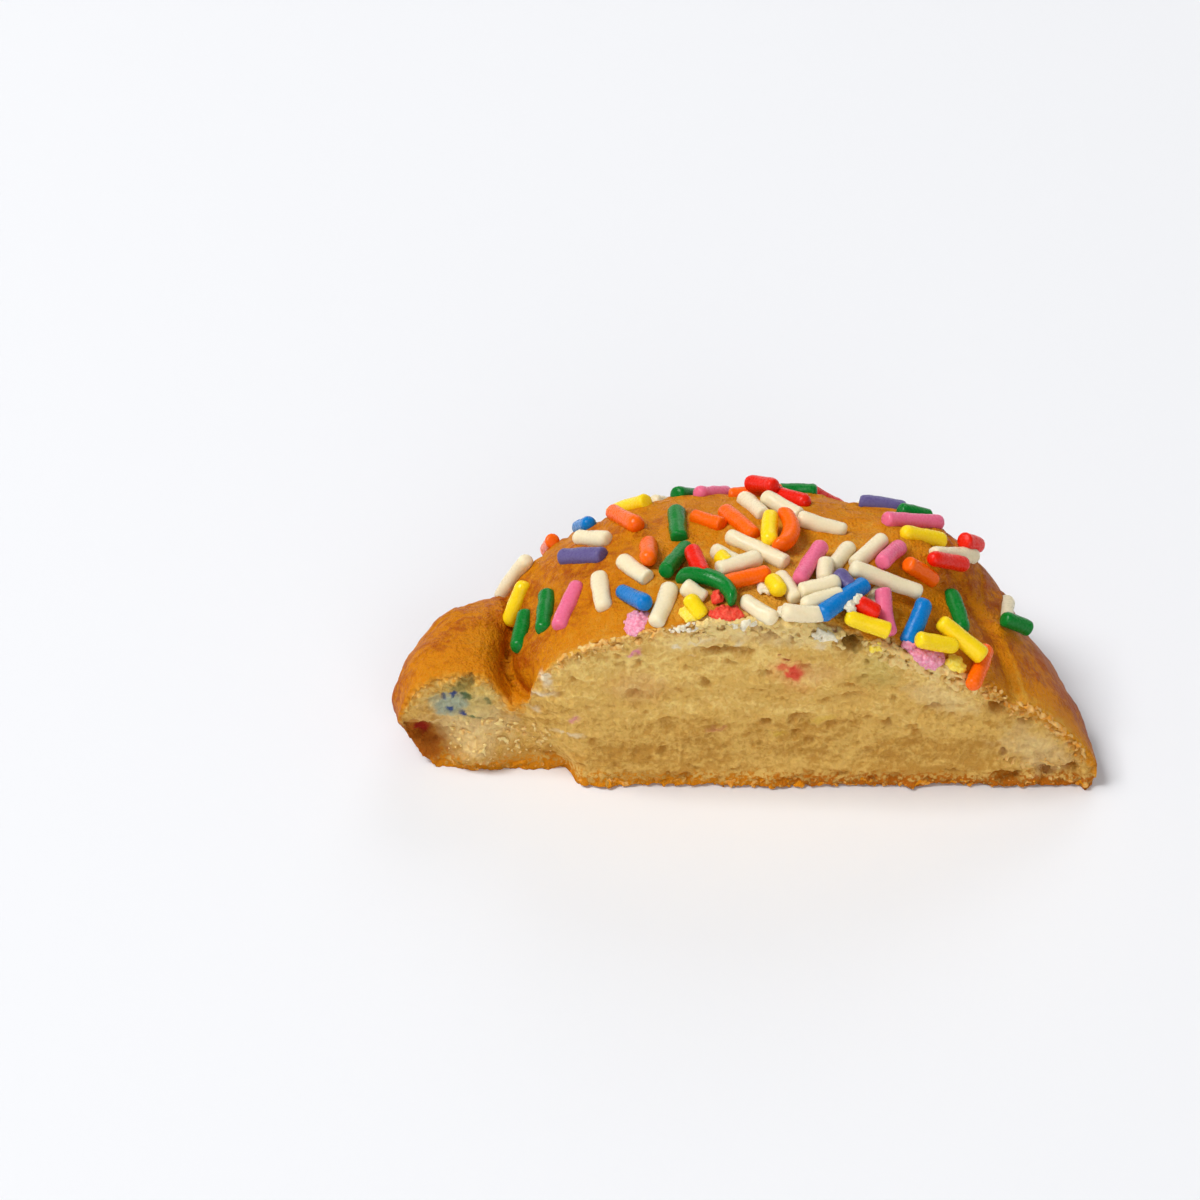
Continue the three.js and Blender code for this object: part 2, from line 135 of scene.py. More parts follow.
def cells(points: Array, seed: int) -> tuple[Array, Array]:
    """Distances to the two nearest of the points scattered one to a unit cell.

    Args:
        points: Places, with x, y and z along the last axis.
        seed: Which of the scatters to use.

    Returns:
        The distances to the nearest and the second nearest.
    """
    corner = np.floor(points).astype(np.int64)
    nearest = np.full(points.shape[:-1], FAR_OFF)
    second = nearest.copy()
    for step in np.ndindex(3, 3, 3):
        cell = corner + np.array(step) - 1
        offset = np.stack([lattice_value(cell, seed + axis) for axis in range(3)], -1) * 0.5 + 0.5
        distance = np.linalg.norm(cell + offset - points, axis=-1)
        second = np.minimum(second, np.maximum(nearest, distance))
        nearest = np.minimum(nearest, distance)
    return nearest, second


def xyz(x: Array, y: Array | float, z: Array | float) -> Array:
    """Places from separate x, y and z, of which y and z may be plain numbers."""
    return np.stack(np.broadcast_arrays(x, y, z), -1).astype(float)


def seeded_random(seed: int) -> Callable[[], float]:
    """A repeatable stream of numbers from 0 to 1."""
    state = seed

    def draw() -> float:
        """The stream's next number."""
        nonlocal state
        state = (state + RANDOM_STEP) & WORD
        value = ((state ^ (state >> 15)) * (1 | state)) & WORD
        value = ((value + (((value ^ (value >> 7)) * (61 | value)) & WORD)) & WORD) ^ value
        return ((value ^ (value >> 14)) & WORD) / (WORD + 1)

    return draw


class Lumps(NamedTuple):
    """A layer of noise: how much it changes, how many millimetres its lumps measure, and its seed."""

    amount: float
    size: float | Triple
    seed: int

    def soft(self, points: Array) -> Array:
        """Soft lumps, up to the amount either way."""
        return self.amount * noise(points / np.array(self.size), self.seed)

    def rough(self, points: Array) -> Array:
        """Lumps with finer ones on them, up to the amount either way."""
        return self.amount * roughness(points / np.array(self.size), self.seed)

    def pebbles(self, points: Array) -> tuple[Array, Array]:
        """Distances to the middles of the two nearest lumps, in lumps."""
        return cells(points / np.array(self.size), self.seed)


def direction(degrees: float) -> Pair:
    """The cosine and the sine of an angle."""
    turn = math.radians(degrees)
    return math.cos(turn), math.sin(turn)


def tilted(x: Array, z: Array, tilt: float) -> tuple[Array, Array]:
    """Steps along and across a line that is tilted by so many degrees."""
    cos, sin = direction(tilt)
    return x * cos + z * sin, -x * sin + z * cos


def bumps(x: Array, z: Array, spots: Sequence[tuple[float, ...]],
          start: Array | float = 0.0) -> Array:
    """Bell-shaped bumps added to a start; each spot gives its middle, its spreads and its height."""
    return sum((height * np.exp(-(((x - middle_x) / spread_x) ** 2) - ((z - middle_z) / spread_z) ** 2)
                for middle_x, middle_z, spread_x, spread_z, height in spots), start)


# ---- Forms of the crust and the cut ------------------------------------------------------------


class Heading(NamedTuple):
    """The dome's slope in one direction from the cookie's middle; angle 0 is the right-hand tip."""

    angle: float
    reach: float
    crown: float
    shoulder: float


class Swell(NamedTuple):
    """A swell of the crust, or a dent where its height is negative."""

    x: float
    y: float
    spread_x: float
    spread_y: float
    height: float


class Pit(NamedTuple):
    """A hollow in the cut, or a bulge where its depth is negative."""

    x: float
    z: float
    spread_x: float
    spread_z: float
    depth: float


class Tear(NamedTuple):
    """A short crevice in the crumb, with its length along the cut's x and its tilt in degrees."""

    x: float
    z: float
    length: float
    width: float
    depth: float
    tilt: float


@dataclass
class CrustForm:
    """The dome and the bun beside it: the same driving sizes as the solid's."""

    crown_height: float = 24.0
    headings: tuple[Heading, ...] = (
        Heading(0, 38.3, 1.25, 0.56),
        Heading(22, 37.6, 1.9, 0.55),
        Heading(42, 36.4, 3.9, 0.46),
        Heading(65, 36.4, 3.6, 0.5),
        Heading(95, 36.6, 3.0, 0.54),
        Heading(135, 36.4, 2.9, 0.5),
        Heading(160, 28.8, 2.0, 0.36),
        Heading(180, 23.8, 1.45, 0.2),
    )
    foot_height: float = 3.2
    foot_tuck: float = 1.1
    bun_middle: Pair = (-27.2, 5.0)
    bun_halves: Pair = (11.3, 16.8)
    bun_height: float = 13.5
    bun_crown: float = 4.2
    bun_shoulder: float = 0.42
    bun_foot: tuple[float, float, float, float] = (3.0, 1.2, 4.0, 3.8)
    fold_x: float = -24.9
    fold_width: float = 1.9
    fold_share: float = 0.3
    fold_fades: Pair = (6.0, 20.0)
    swells: tuple[Swell, ...] = (
        Swell(19, 22, 7, 7, 0.9),
        Swell(10.8, 16.5, 2.1, 1.4, -0.8),
        Swell(-9, 24, 6, 4, 0.6),
        Swell(-16, 14, 4, 3, -0.5),
    )
    crease_radius: float = 28.3
    crease_drift: float = 0.07
    crease_width: float = 0.9
    crease_depth: float = 1.0
    crease_fades: Pair = (40.0, 54.0)
    baked_lumps: Lumps = Lumps(0.35, 6.5, 11)
    relief_fades: Pair = (1.0, 7.0)
    rim_amount: float = 0.55
    rim_grain: float = 7.0
    rim_seed: int = 23
    rim_walk: float = 40.0
    rim_fades: Pair = (24.0, 36.0)
    bun_rim_seed: int = 31
    bun_rim_walk: float = 2.5
    bun_rim_fades: Pair = (4.0, 10.0)
    slope_steps: int = 401
    below_base: float = 2.0

    def slope_at(self, heading: Array) -> tuple[Array, Array, Array]:
        """Blends the named slopes.

        Args:
            heading: Directions from the middle, in degrees.

        Returns:
            Reach, crown and shoulder for each direction.
        """
        angle = np.abs((np.asarray(heading, float) + 180.0) % 360.0 - 180.0)
        angles = np.array([entry.angle for entry in self.headings], float)
        upper = np.clip(np.searchsorted(angles, angle), 1, len(angles) - 1)
        share = smooth((angle - angles[upper - 1]) / (angles[upper] - angles[upper - 1]), 0.0, 1.0)
        mixed = []
        for name in ("reach", "crown", "shoulder"):
            values = np.array([getattr(entry, name) for entry in self.headings])
            mixed.append(values[upper - 1] * (1.0 - share) + values[upper] * share)
        return mixed[0], mixed[1], mixed[2]

    def relief(self, x: Array, y: Array, height: Array) -> Array:
        """What swells, the crease and the baked unevenness add to the dome's height."""
        change = bumps(x, y, self.swells, self.baked_lumps.rough(xyz(x, y, 0.0)))
        fade = 1.0 - smooth(np.abs(np.degrees(np.arctan2(y, x))), *self.crease_fades)
        off = self.past_crease(x, y) / self.crease_width
        change = change - self.crease_depth * np.exp(-(off**2)) * fade
        return change * smooth(height, *self.relief_fades)

    def past_crease(self, x: Array, y: Array) -> Array:
        """How far outside the crease each place is."""
        heading = np.abs(np.degrees(np.arctan2(y, x)))
        return np.hypot(x, y) - self.crease_radius + self.crease_drift * heading

    def height(self, x: Array, y: Array) -> Array:
        """Height of the dome's crust over places on the base."""
        reach, crown, shoulder = self.slope_at(np.degrees(np.arctan2(y, x)))
        inside = np.maximum(0.0, 1.0 - (np.hypot(x, y) / reach) ** crown)
        level = self.crown_height * inside**shoulder
        return level + self.relief(x, y, level)

    def fold_level(self, x: Array, y: Array) -> Array:
        """Height of the fold's floor as a share of the bun's own height."""
        across = np.exp(-(((x - self.fold_x) / self.fold_width) ** 2))
        return 1.0 - self.fold_share * across * (1.0 - smooth(y, *self.fold_fades))

    def bun_top(self, x: Array, y: Array) -> Array:
        """Height of the bun's crust over places on the base."""
        (middle_x, middle_y), (half_x, half_y) = self.bun_middle, self.bun_halves
        off = np.hypot((x - middle_x) / half_x, (y - middle_y) / half_y)
        level = self.bun_height * np.maximum(0.0, 1.0 - off**self.bun_crown) ** self.bun_shoulder
        return level * self.fold_level(x, y)

    def along_slope(self, share: Array, reach: float, crown: float, shoulder: float,
                    height: float) -> tuple[Array, Array]:
        """Points at even steps along one slope.

        Args:
            share: How far along the slope, from 0 at the middle to 1 at the rim.
            reach: Radius of the rim.
            crown: How flat the middle is.
            shoulder: How full the shoulder is.
            height: Height of the middle.

        Returns:
            The radius and the level of each point.
        """
        turn = np.linspace(0.0, math.pi / 2.0, self.slope_steps)
        radius = reach * np.sin(turn) ** (2.0 / crown)
        level = height * np.maximum(0.0, np.cos(turn)) ** (2.0 * shoulder)
        length = np.concatenate([[0.0], np.cumsum(np.hypot(np.diff(radius), np.diff(level)))])
        wanted = share * length[-1]
        return np.interp(wanted, length, radius), np.interp(wanted, length, level)

    def dome_points(self, heading: float, share: Array) -> Array:
        """Points of the dome along one heading.

        Args:
            heading: The direction from the cookie's middle, in degrees.
            share: How far down the slope; past 1 the points run back under the base.

        Returns:
            The points in cookie coordinates.
        """
        reach, crown, shoulder = (float(value) for value in self.slope_at(np.array(heading)))
        radius, level = self.along_slope(np.minimum(share, 1.0), reach, crown, shoulder, self.crown_height)
        cos, sin = direction(heading)
        rim = xyz(0.0 * level + cos * self.rim_walk, sin * self.rim_walk, level) / self.rim_grain
        out = radius - self.foot_tuck * np.maximum(0.0, 1.0 - level / self.foot_height) ** 2
        out = out + self.rim_amount * smooth(radius, *self.rim_fades) * roughness(rim, self.rim_seed)
        level = level + self.relief(out * cos, out * sin, level)
        under = share > 1.0
        out = np.where(under, out * (2.0 - share), out)
        return xyz(out * cos, out * sin, np.where(under, -self.below_base, level))

    def bun_points(self, heading: float, share: Array) -> Array:
        """Points of the bun along one heading.

        Args:
            heading: The direction from the bun's middle, in degrees.
            share: How far down the slope; past 1 the points run back under the base.

        Returns:
            The points in cookie coordinates.
        """
        cos, sin = direction(heading)
        reach = 1.0 / math.hypot(cos / self.bun_halves[0], sin / self.bun_halves[1])
        outward = max(0.0, -cos)
        height, tuck, more_height, more_tuck = self.bun_foot
        slope = (reach, self.bun_crown, self.bun_shoulder, self.bun_height)
        radius, level = self.along_slope(np.minimum(share, 1.0), *slope)
        foot = np.maximum(0.0, 1.0 - level / (height + more_height * outward)) ** 2
        rim = xyz(0.0 * level + cos * self.bun_rim_walk, sin * self.bun_rim_walk, level / self.rim_grain)
        uneven = self.rim_amount * smooth(radius, *self.bun_rim_fades) * roughness(rim, self.bun_rim_seed)
        out = radius - (tuck + more_tuck * outward) * foot + uneven
        x, y = self.bun_middle[0] + out * cos, self.bun_middle[1] + out * sin
        lumps = self.baked_lumps.rough(xyz(x, y, 0.0))
        top = level * self.fold_level(x, y) + lumps * smooth(level, *self.relief_fades)
        under = share > 1.0
        back = np.where(under, 2.0 - share, 1.0)
        x, y = self.bun_middle[0] + out * cos * back, self.bun_middle[1] + out * sin * back
        return xyz(x, y, np.where(under, -self.below_base, top))


def crust_edge(crust: CrustForm, x: Array, behind: float = 0.5) -> Array:
    """Height of the crust over places along the cut, just behind it."""
    at_cut = np.full(x.shape, behind)
    return np.maximum(crust.height(x, at_cut), crust.bun_top(x, at_cut))


@dataclass
class CutForm:
    """The rough plane of the cut, set back where the bun's foot broke away on the left.

    The small tears' pairs are a least value and what a random draw adds to it.
    """

    set_back: float = 3.0
    edge_x: Pair = (-17.8, -24.0)
    edge_rise: float = 12.0
    edge_wander: Lumps = Lumps(0.8, 2.5, 47)
    softness: Pair = (1.1, 5.0)
    softness_rise: Pair = (1.0, 7.0)
    relief_amount: float = 0.42
    smears: Lumps = Lumps(1.0, (4.6, 1.0, 2.1), 41)
    ragged_x: Lumps = Lumps(0.5, 0.9, 43)
    ragged_z: Lumps = Lumps(0.4, 0.8, 45)
    ragged_slice: float = 4.0
    pits: tuple[Pit, ...] = (
        Pit(10.5, 20.2, 1.3, 1.1, 1.7),
        Pit(14.6, 19.5, 0.9, 0.7, 0.8),
        Pit(-3.2, 19.4, 2.6, 0.4, 0.35),
        Pit(1.6, 21.4, 1.7, 0.6, 0.6),
        Pit(26.5, 11.0, 1.3, 0.6, 0.8),
        Pit(32.5, 2.2, 1.5, 0.7, 0.8),
        Pit(-34.6, 3.6, 3.2, 2.4, 2.2),
        Pit(-29.0, 2.6, 2.6, 2.4, -1.3),
    )
    tears: tuple[Tear, ...] = tuple(Tear(*row) for row in (
        (-3.0, 19.5, 5.6, 0.3, 0.8, -2), (1.7, 22.1, 3.6, 0.32, 0.9, -38), (-7.7, 22.2, 1.5, 0.35, 0.8, 12),
        (4.5, 21.1, 1.2, 0.35, 0.7, -10), (10.3, 20.3, 2.4, 0.8, 1.2, -35), (14.5, 19.9, 0.9, 0.4, 0.9, 10),
        (-4.5, 14.8, 1.4, 0.3, 0.5, -20), (1.8, 16.2, 1.3, 0.3, 0.6, -25), (6.0, 17.0, 1.2, 0.25, 0.5, -15),
        (5.5, 9.9, 2.4, 0.45, 0.6, 8), (8.0, 12.4, 1.2, 0.3, 0.5, 5), (11.2, 13.0, 2.6, 0.4, 0.45, 8),
        (2.0, 9.2, 1.1, 0.35, 0.7, 0), (-8.8, 9.3, 1.6, 0.45, 0.45, 0), (14.8, 9.1, 1.1, 0.4, 0.6, 15),
        (5.2, 7.7, 0.9, 0.3, 0.5, 25), (26.5, 11.3, 1.7, 0.5, 1.0, -5), (29.5, 9.4, 1.5, 0.5, 1.0, 10),
        (19.6, 11.6, 1.6, 0.4, 0.7, 5), (27.7, 4.9, 0.7, 0.4, 0.8, -25), (32.5, 2.4, 1.4, 0.6, 1.2, -40),
        (28.2, 1.8, 3.0, 0.5, 1.1, 4), (34.9, 2.9, 1.8, 0.45, 0.9, 0), (-13.6, 17.2, 1.2, 0.3, 0.5, 10),
        (-11.8, 13.6, 1.6, 0.35, 0.45, -8), (-18.4, 15.3, 0.9, 0.3, 0.6, 0),
        (-15.6, 21.2, 1.3, 0.35, 0.7, 15),
    ))
    tear_wobble: tuple[Lumps, Lumps] = (Lumps(0.3, 0.9, 71), Lumps(0.16, 0.35, 72))
    tear_reach: Pair = (2.0, 5.0)
    lip_above: float = 0.45
    lip_below: float = 1.5
    small_tears: int = 150
    small_seed: int = 61
    small_from: Pair = (-36.0, 0.8)
    small_span: Pair = (73.0, 22.0)
    small_low: float = 1.15
    small_size: Pair = (0.35, 0.85)
    small_stretch: float = 1.5
    small_width: Pair = (0.16, 0.16)
    small_depth: Pair = (0.2, 0.35)
    small_tilt: float = 18.0
    base_reach: float = 1.1
    base_fullness: float = 0.25
    crust_reach: float = 1.6
    dry_tips: tuple[Pair, Pair] = ((-34.0, -26.0), (25.0, 34.0))
    dry_patches: Lumps = Lumps(1.0, (6.0, 1.0, 3.0), 87)
    dry_patch_range: Pair = (0.1, 0.7)
    dry_middle: Triple = (3.5, 8.0, 3.2)
    dryness: Pair = (0.16, 1.1)
    coarse_grain: Lumps = Lumps(0.6, (1.05, 1.0, 0.85), 81)
    small_grain: Lumps = Lumps(0.22, (0.5, 1.0, 0.45), 84)
    small_grain_when_moist: float = 0.05
    soft_grain: Lumps = Lumps(0.15, (2.2, 1.0, 1.3), 83)
    fine_grain: Lumps = Lumps(0.07, (0.7, 1.0, 0.55), 85)
    tags: tuple[Pit, ...] = (
        Pit(18.0, 0.5, 0.6, 0.6, -0.7),
        Pit(36.6, 0.5, 0.4, 0.6, -0.8),
        Pit(-15.2, 0.6, 1.0, 0.6, -0.4),
        Pit(3.0, 0.4, 1.2, 0.5, -0.4),
    )

    def broad(self, x: Array, z: Array) -> Array:
        """How far the crumb lies behind the plane of the cut: the solid's own relief."""
        depth = self.relief_amount * (0.5 + 0.5 * self.smears.rough(xyz(x, 0.0, z))) + self.pit_depth(x, z)
        edge = self.edge_x[0] + (self.edge_x[1] - self.edge_x[0]) * smooth(z, 0.0, self.edge_rise)
        edge = edge + self.edge_wander.soft(xyz(z, 0.0, 0.0))
        soft = self.softness[0] + (self.softness[1] - self.softness[0]) * smooth(z, *self.softness_rise)
        return depth + self.set_back * (1.0 - smooth((x - edge) / soft, -1.0, 1.0))

    def pit_depth(self, x: Array, z: Array) -> Array:
        """How deep the ragged pits are, negative where the crumb bulges."""
        ragged_x = x + self.ragged_x.rough(xyz(x, 0.0, z))
        ragged_z = z + self.ragged_z.rough(xyz(x, self.ragged_slice, z))
        return bumps(ragged_x, ragged_z, self.pits)

    def all_tears(self) -> list[Tear]:
        """The named tears and the small ones strewn between them, most of them short."""
        draw = seeded_random(self.small_seed)
        found = list(self.tears)
        for _ in range(self.small_tears):
            x = self.small_from[0] + self.small_span[0] * draw()
            z = self.small_from[1] + self.small_span[1] * draw() ** self.small_low
            length = (self.small_size[0] + self.small_size[1] * draw() ** 2) * self.small_stretch
            width = self.small_width[0] + self.small_width[1] * draw()
            depth = self.small_depth[0] + self.small_depth[1] * draw()
            found.append(Tear(x, z, length, width, depth, 2.0 * self.small_tilt * draw() - self.small_tilt))
        return found

    def tear_depth(self, x: Array, z: Array) -> Array:
        """How deep the tears are, with a sharp upper lip and a soft floor below it.

        Args:
            x: Places along the cut.
            z: Heights of the places.

        Returns:
            The depth of each place in the deepest tear there.
        """
        depth = np.zeros(x.shape)
        wobble = self.tear_wobble[0].soft(xyz(x, 0.0, z)) + self.tear_wobble[1].soft(xyz(x, 0.0, z))
        for tear in self.all_tears():
            along, across = tilted(x - tear.x, z - tear.z, tear.tilt)
            along, across = along / (0.5 * tear.length), (across + wobble) / tear.width
            near = (np.abs(along) < self.tear_reach[0]) & (np.abs(across) < self.tear_reach[1])
            softness = np.where(across[near] > 0.0, self.lip_above, self.lip_below)
            cut = tear.depth * np.exp(-(along[near] ** 4)) * np.exp(-((across[near] / softness) ** 2))
            depth[near] = np.maximum(depth[near], cut)
        return depth

    def grains(self, x: Array, z: Array, below_crust: Array) -> Array:
        """Crumbly grain where the dough baked dry, and soft smears where it stayed dense.

        Args:
            x: Places along the cut.
            z: Heights of the places.
            below_crust: How far each place lies under the crust's edge.

        Returns:
            How far each place is set back, negative where a grain stands proud.
        """
        places = xyz(x, 0.0, z)
        near_base = np.exp(-z / self.base_reach)
        near_crust = np.exp(-np.maximum(below_crust, 0.0) / self.crust_reach)
        left_tip, right_tip = self.dry_tips
        tips = smooth(x, *right_tip) + 1.0 - smooth(x, *left_tip)
        middle, spread, depth = self.dry_middle
        patches = 0.5 * smooth(self.dry_patches.rough(places), *self.dry_patch_range)
        patches = patches + 0.5 * np.exp(-(((x - middle) / spread) ** 2) - (below_crust / depth) ** 2)
        crumbly = np.clip(near_base + 0.85 * near_crust + 0.6 * tips + patches, *self.dryness)
        coarse, _ = self.coarse_grain.pebbles(places)
        small, _ = self.small_grain.pebbles(places)
        lumps = self.coarse_grain.amount * (coarse - 0.5) + self.small_grain.amount * (small - 0.5)
        soft = self.soft_grain.rough(places) + self.fine_grain.rough(places)
        moist = self.small_grain_when_moist * (small - 0.5)
        return crumbly * lumps + soft + moist - self.base_fullness * near_base

    def finished(self, x: Array, z: Array, below_crust: Array) -> Array:
        """How far back the finished crumb lies at places on the cut."""
        return self.broad(x, z) + self.tear_depth(x, z) + self.grains(x, z, below_crust) + self.drops(x, z)

    def drops(self, x: Array, z: Array) -> Array:
        """Small tags of base crust that hang in front of the cut."""
        return bumps(x, z, self.tags)


# ---- Sprinkles -----------------------------------------------------------------------------------


@dataclass
class Rod:
    """One sprinkle: its middle, the turn of its length in degrees, and how far it bows."""

    colour: SugarColour
    x: float
    y: float
    turn: float
    length: float
    sagitta: float = 0.0

    def halves(self) -> Pair:
        """Half of the length, as steps in x and in y."""
        cos, sin = direction(self.turn)
        return 0.5 * self.length * cos, 0.5 * self.length * sin

    def gap_to(self, other: "Rod") -> float:
        """The shortest distance between two middle lines, seen from above."""
        samples = (-1.0, -0.5, 0.0, 0.5, 1.0)
        (ax, ay), (bx, by) = self.halves(), other.halves()
        return min(math.hypot(self.x + a * ax - other.x - b * bx, self.y + a * ay - other.y - b * by)
                   for a in samples for b in samples)


SHOWN = {
    SugarColour.WHITE: (
        (-15.5, 7.5, -84, 5.5), (-12, 9, -53, 5), (-9, 3, 72, 5.5), (-6, 4, -30, 2.8), (1, 20.5, -70, 6.5),
        (4, 19.5, -45, 5.5), (8, 15.8, -12, 5.5), (1, 11, -40, 8), (-2, 9.5, -47, 5), (-1, 7.7, 25, 5.2),
        (4, 4.8, -68, 4.6), (9.8, 10, 60, 4.6), (8, 7, 87, 3.2), (7.3, 4, 20, 4.6), (7.4, 2.2, 25, 4.8),
        (13.3, 5.2, 73, 3.6), (0.8, 1.4, -42, 4.6), (5.3, 0.1, 10, 4.6), (12.8, 11, 55, 6), (14.2, 7, 0, 8.4),
        (22.3, 15.2, 42, 8.2), (28.4, 13.8, 85, 5),
    ),
    SugarColour.GREEN: (
        (-21.5, 9, 86, 6.5), (-7.3, 17, -88, 6.5), (-7.6, 9.6, 67, 6.5), (-4.1, 4.4, -35, 7, 1.9),
        (6, 27, -5, 4.6), (22.3, 8, -78, 5.8), (18.3, 21.3, 13, 4), (28.9, 10.4, 15, 3.8),
    ),
    SugarColour.PINK: (
        (-19, 7.7, 72, 6.5), (6.4, 7.8, 65, 6.6), (14.2, 3.4, -81, 5.2), (18.1, 18.8, 25, 7.8),
        (15.1, 10.7, 62, 5.2),
    ),
    SugarColour.BLUE: ((-12, 4.6, -61, 6.2), (9.6, 2.6, 47, 7.4), (17.7, 3.7, 64, 5.4)),
    SugarColour.ORANGE: (
        (-10.5, 11.2, 89, 5.5), (1.5, 26, -3, 6), (-4, 17.3, -39, 4.2), (-0.7, 16.5, -64, 7.4),
        (4.1, 13.2, 82, 6.2, -1.2), (-0.6, 5.3, 20, 6), (18.1, 10, 18, 4.8), (24.4, 1.8, 72, 6.5),
    ),
    SugarColour.YELLOW: (
        (2.4, 13.4, 87, 5), (-2.6, 8.3, -60, 2.1), (2.7, 4.2, -67, 2.8), (12, 0.7, -4, 5),
        (22.2, 3, -22, 6.2), (19.5, 1.3, 12, 5), (18.8, 15.9, 20, 5.8), (-5.9, 1.8, -49, 2.8),
    ),
    SugarColour.RED: (
        (-5.4, 7.8, -75, 5), (4.8, 22.6, -45, 6.4), (2.2, 24.4, -50, 4.6), (12, 2.4, -16, 2.9),
        (21.3, 12.3, 34, 6.2), (24.4, 18.1, 45, 3.8),
    ),
    SugarColour.PURPLE: ((9.9, 5.4, -50, 3), (15.2, 23.5, -10, 5.2)),
}


@dataclass
class SprinkleLayout:
    """Where the sprinkles lie: the shown ones by name, and the hidden side's by a seeded rule."""

    crust: CrustForm
    seed: int = 7
    count: int = 26
    shortest: float = 4.4
    longest: float = 7.4
    clearance: float = 2.0
    nearest_cut: float = 9.0
    left_of: float = -8.0
    behind: float = 27.0
    rim_share: float = 0.9
    tries: int = 2000
    half_width: float = 38.0
    depth: float = 30.0
    order: tuple[SugarColour, ...] = (
        SugarColour.WHITE, SugarColour.ORANGE, SugarColour.GREEN, SugarColour.PINK, SugarColour.YELLOW,
        SugarColour.WHITE, SugarColour.RED, SugarColour.BLUE, SugarColour.PURPLE,
    )

    def shown(self) -> list[Rod]:
        """The sprinkles that show from the cut's side."""
        return [Rod(colour, *place) for colour, places in SHOWN.items() for place in places]

    def scattered(self, taken: Sequence[Rod]) -> list[Rod]:
        """The sprinkles behind the crown and on the left.

        Args:
            taken: Sprinkles that these keep clear of.

        Returns:
            The new sprinkles, the longest first.
        """
        draw = seeded_random(self.seed)
        lengths = [self.shortest + (self.longest - self.shortest) * draw() for _ in range(self.count)]
        placed: list[Rod] = []
        for length in sorted(lengths, reverse=True):
            for _ in range(self.tries):
                x = -self.half_width + 2.0 * self.half_width * draw()
                y = self.nearest_cut + self.depth * draw()
                rod = Rod(self.order[len(placed) % len(self.order)], x, y, 180.0 * draw() - 90.0, length)
                reach = float(self.crust.slope_at(np.degrees(math.atan2(y, x)))[0])
                inside = math.hypot(x, y) < self.rim_share * reach
                unshown = x < self.left_of or y > self.behind
                laid = [*taken, *placed]
                if inside and unshown and all(rod.gap_to(other) > self.clearance for other in laid):
                    placed.append(rod)
                    break
        return placed

    def all_rods(self) -> list[Rod]:
        """Every sprinkle, the shown ones first."""
        shown = self.shown()
        return shown + self.scattered(shown)


@dataclass
class SeatedRod:
    """A sprinkle's mid-line as it lies on the crust: its middle and its three directions."""

    rod: Rod
    middle: Array
    along: Array
    level: Array
    up: Array

    def mid_line(self, share: Array) -> Array:
        """Places on the mid-line, for shares from -1 at one end to 1 at the other."""
        bow = self.rod.sagitta * (0.5 - share**2)
        return self.middle + np.outer(0.5 * self.rod.length * share, self.along) + np.outer(bow, self.level)


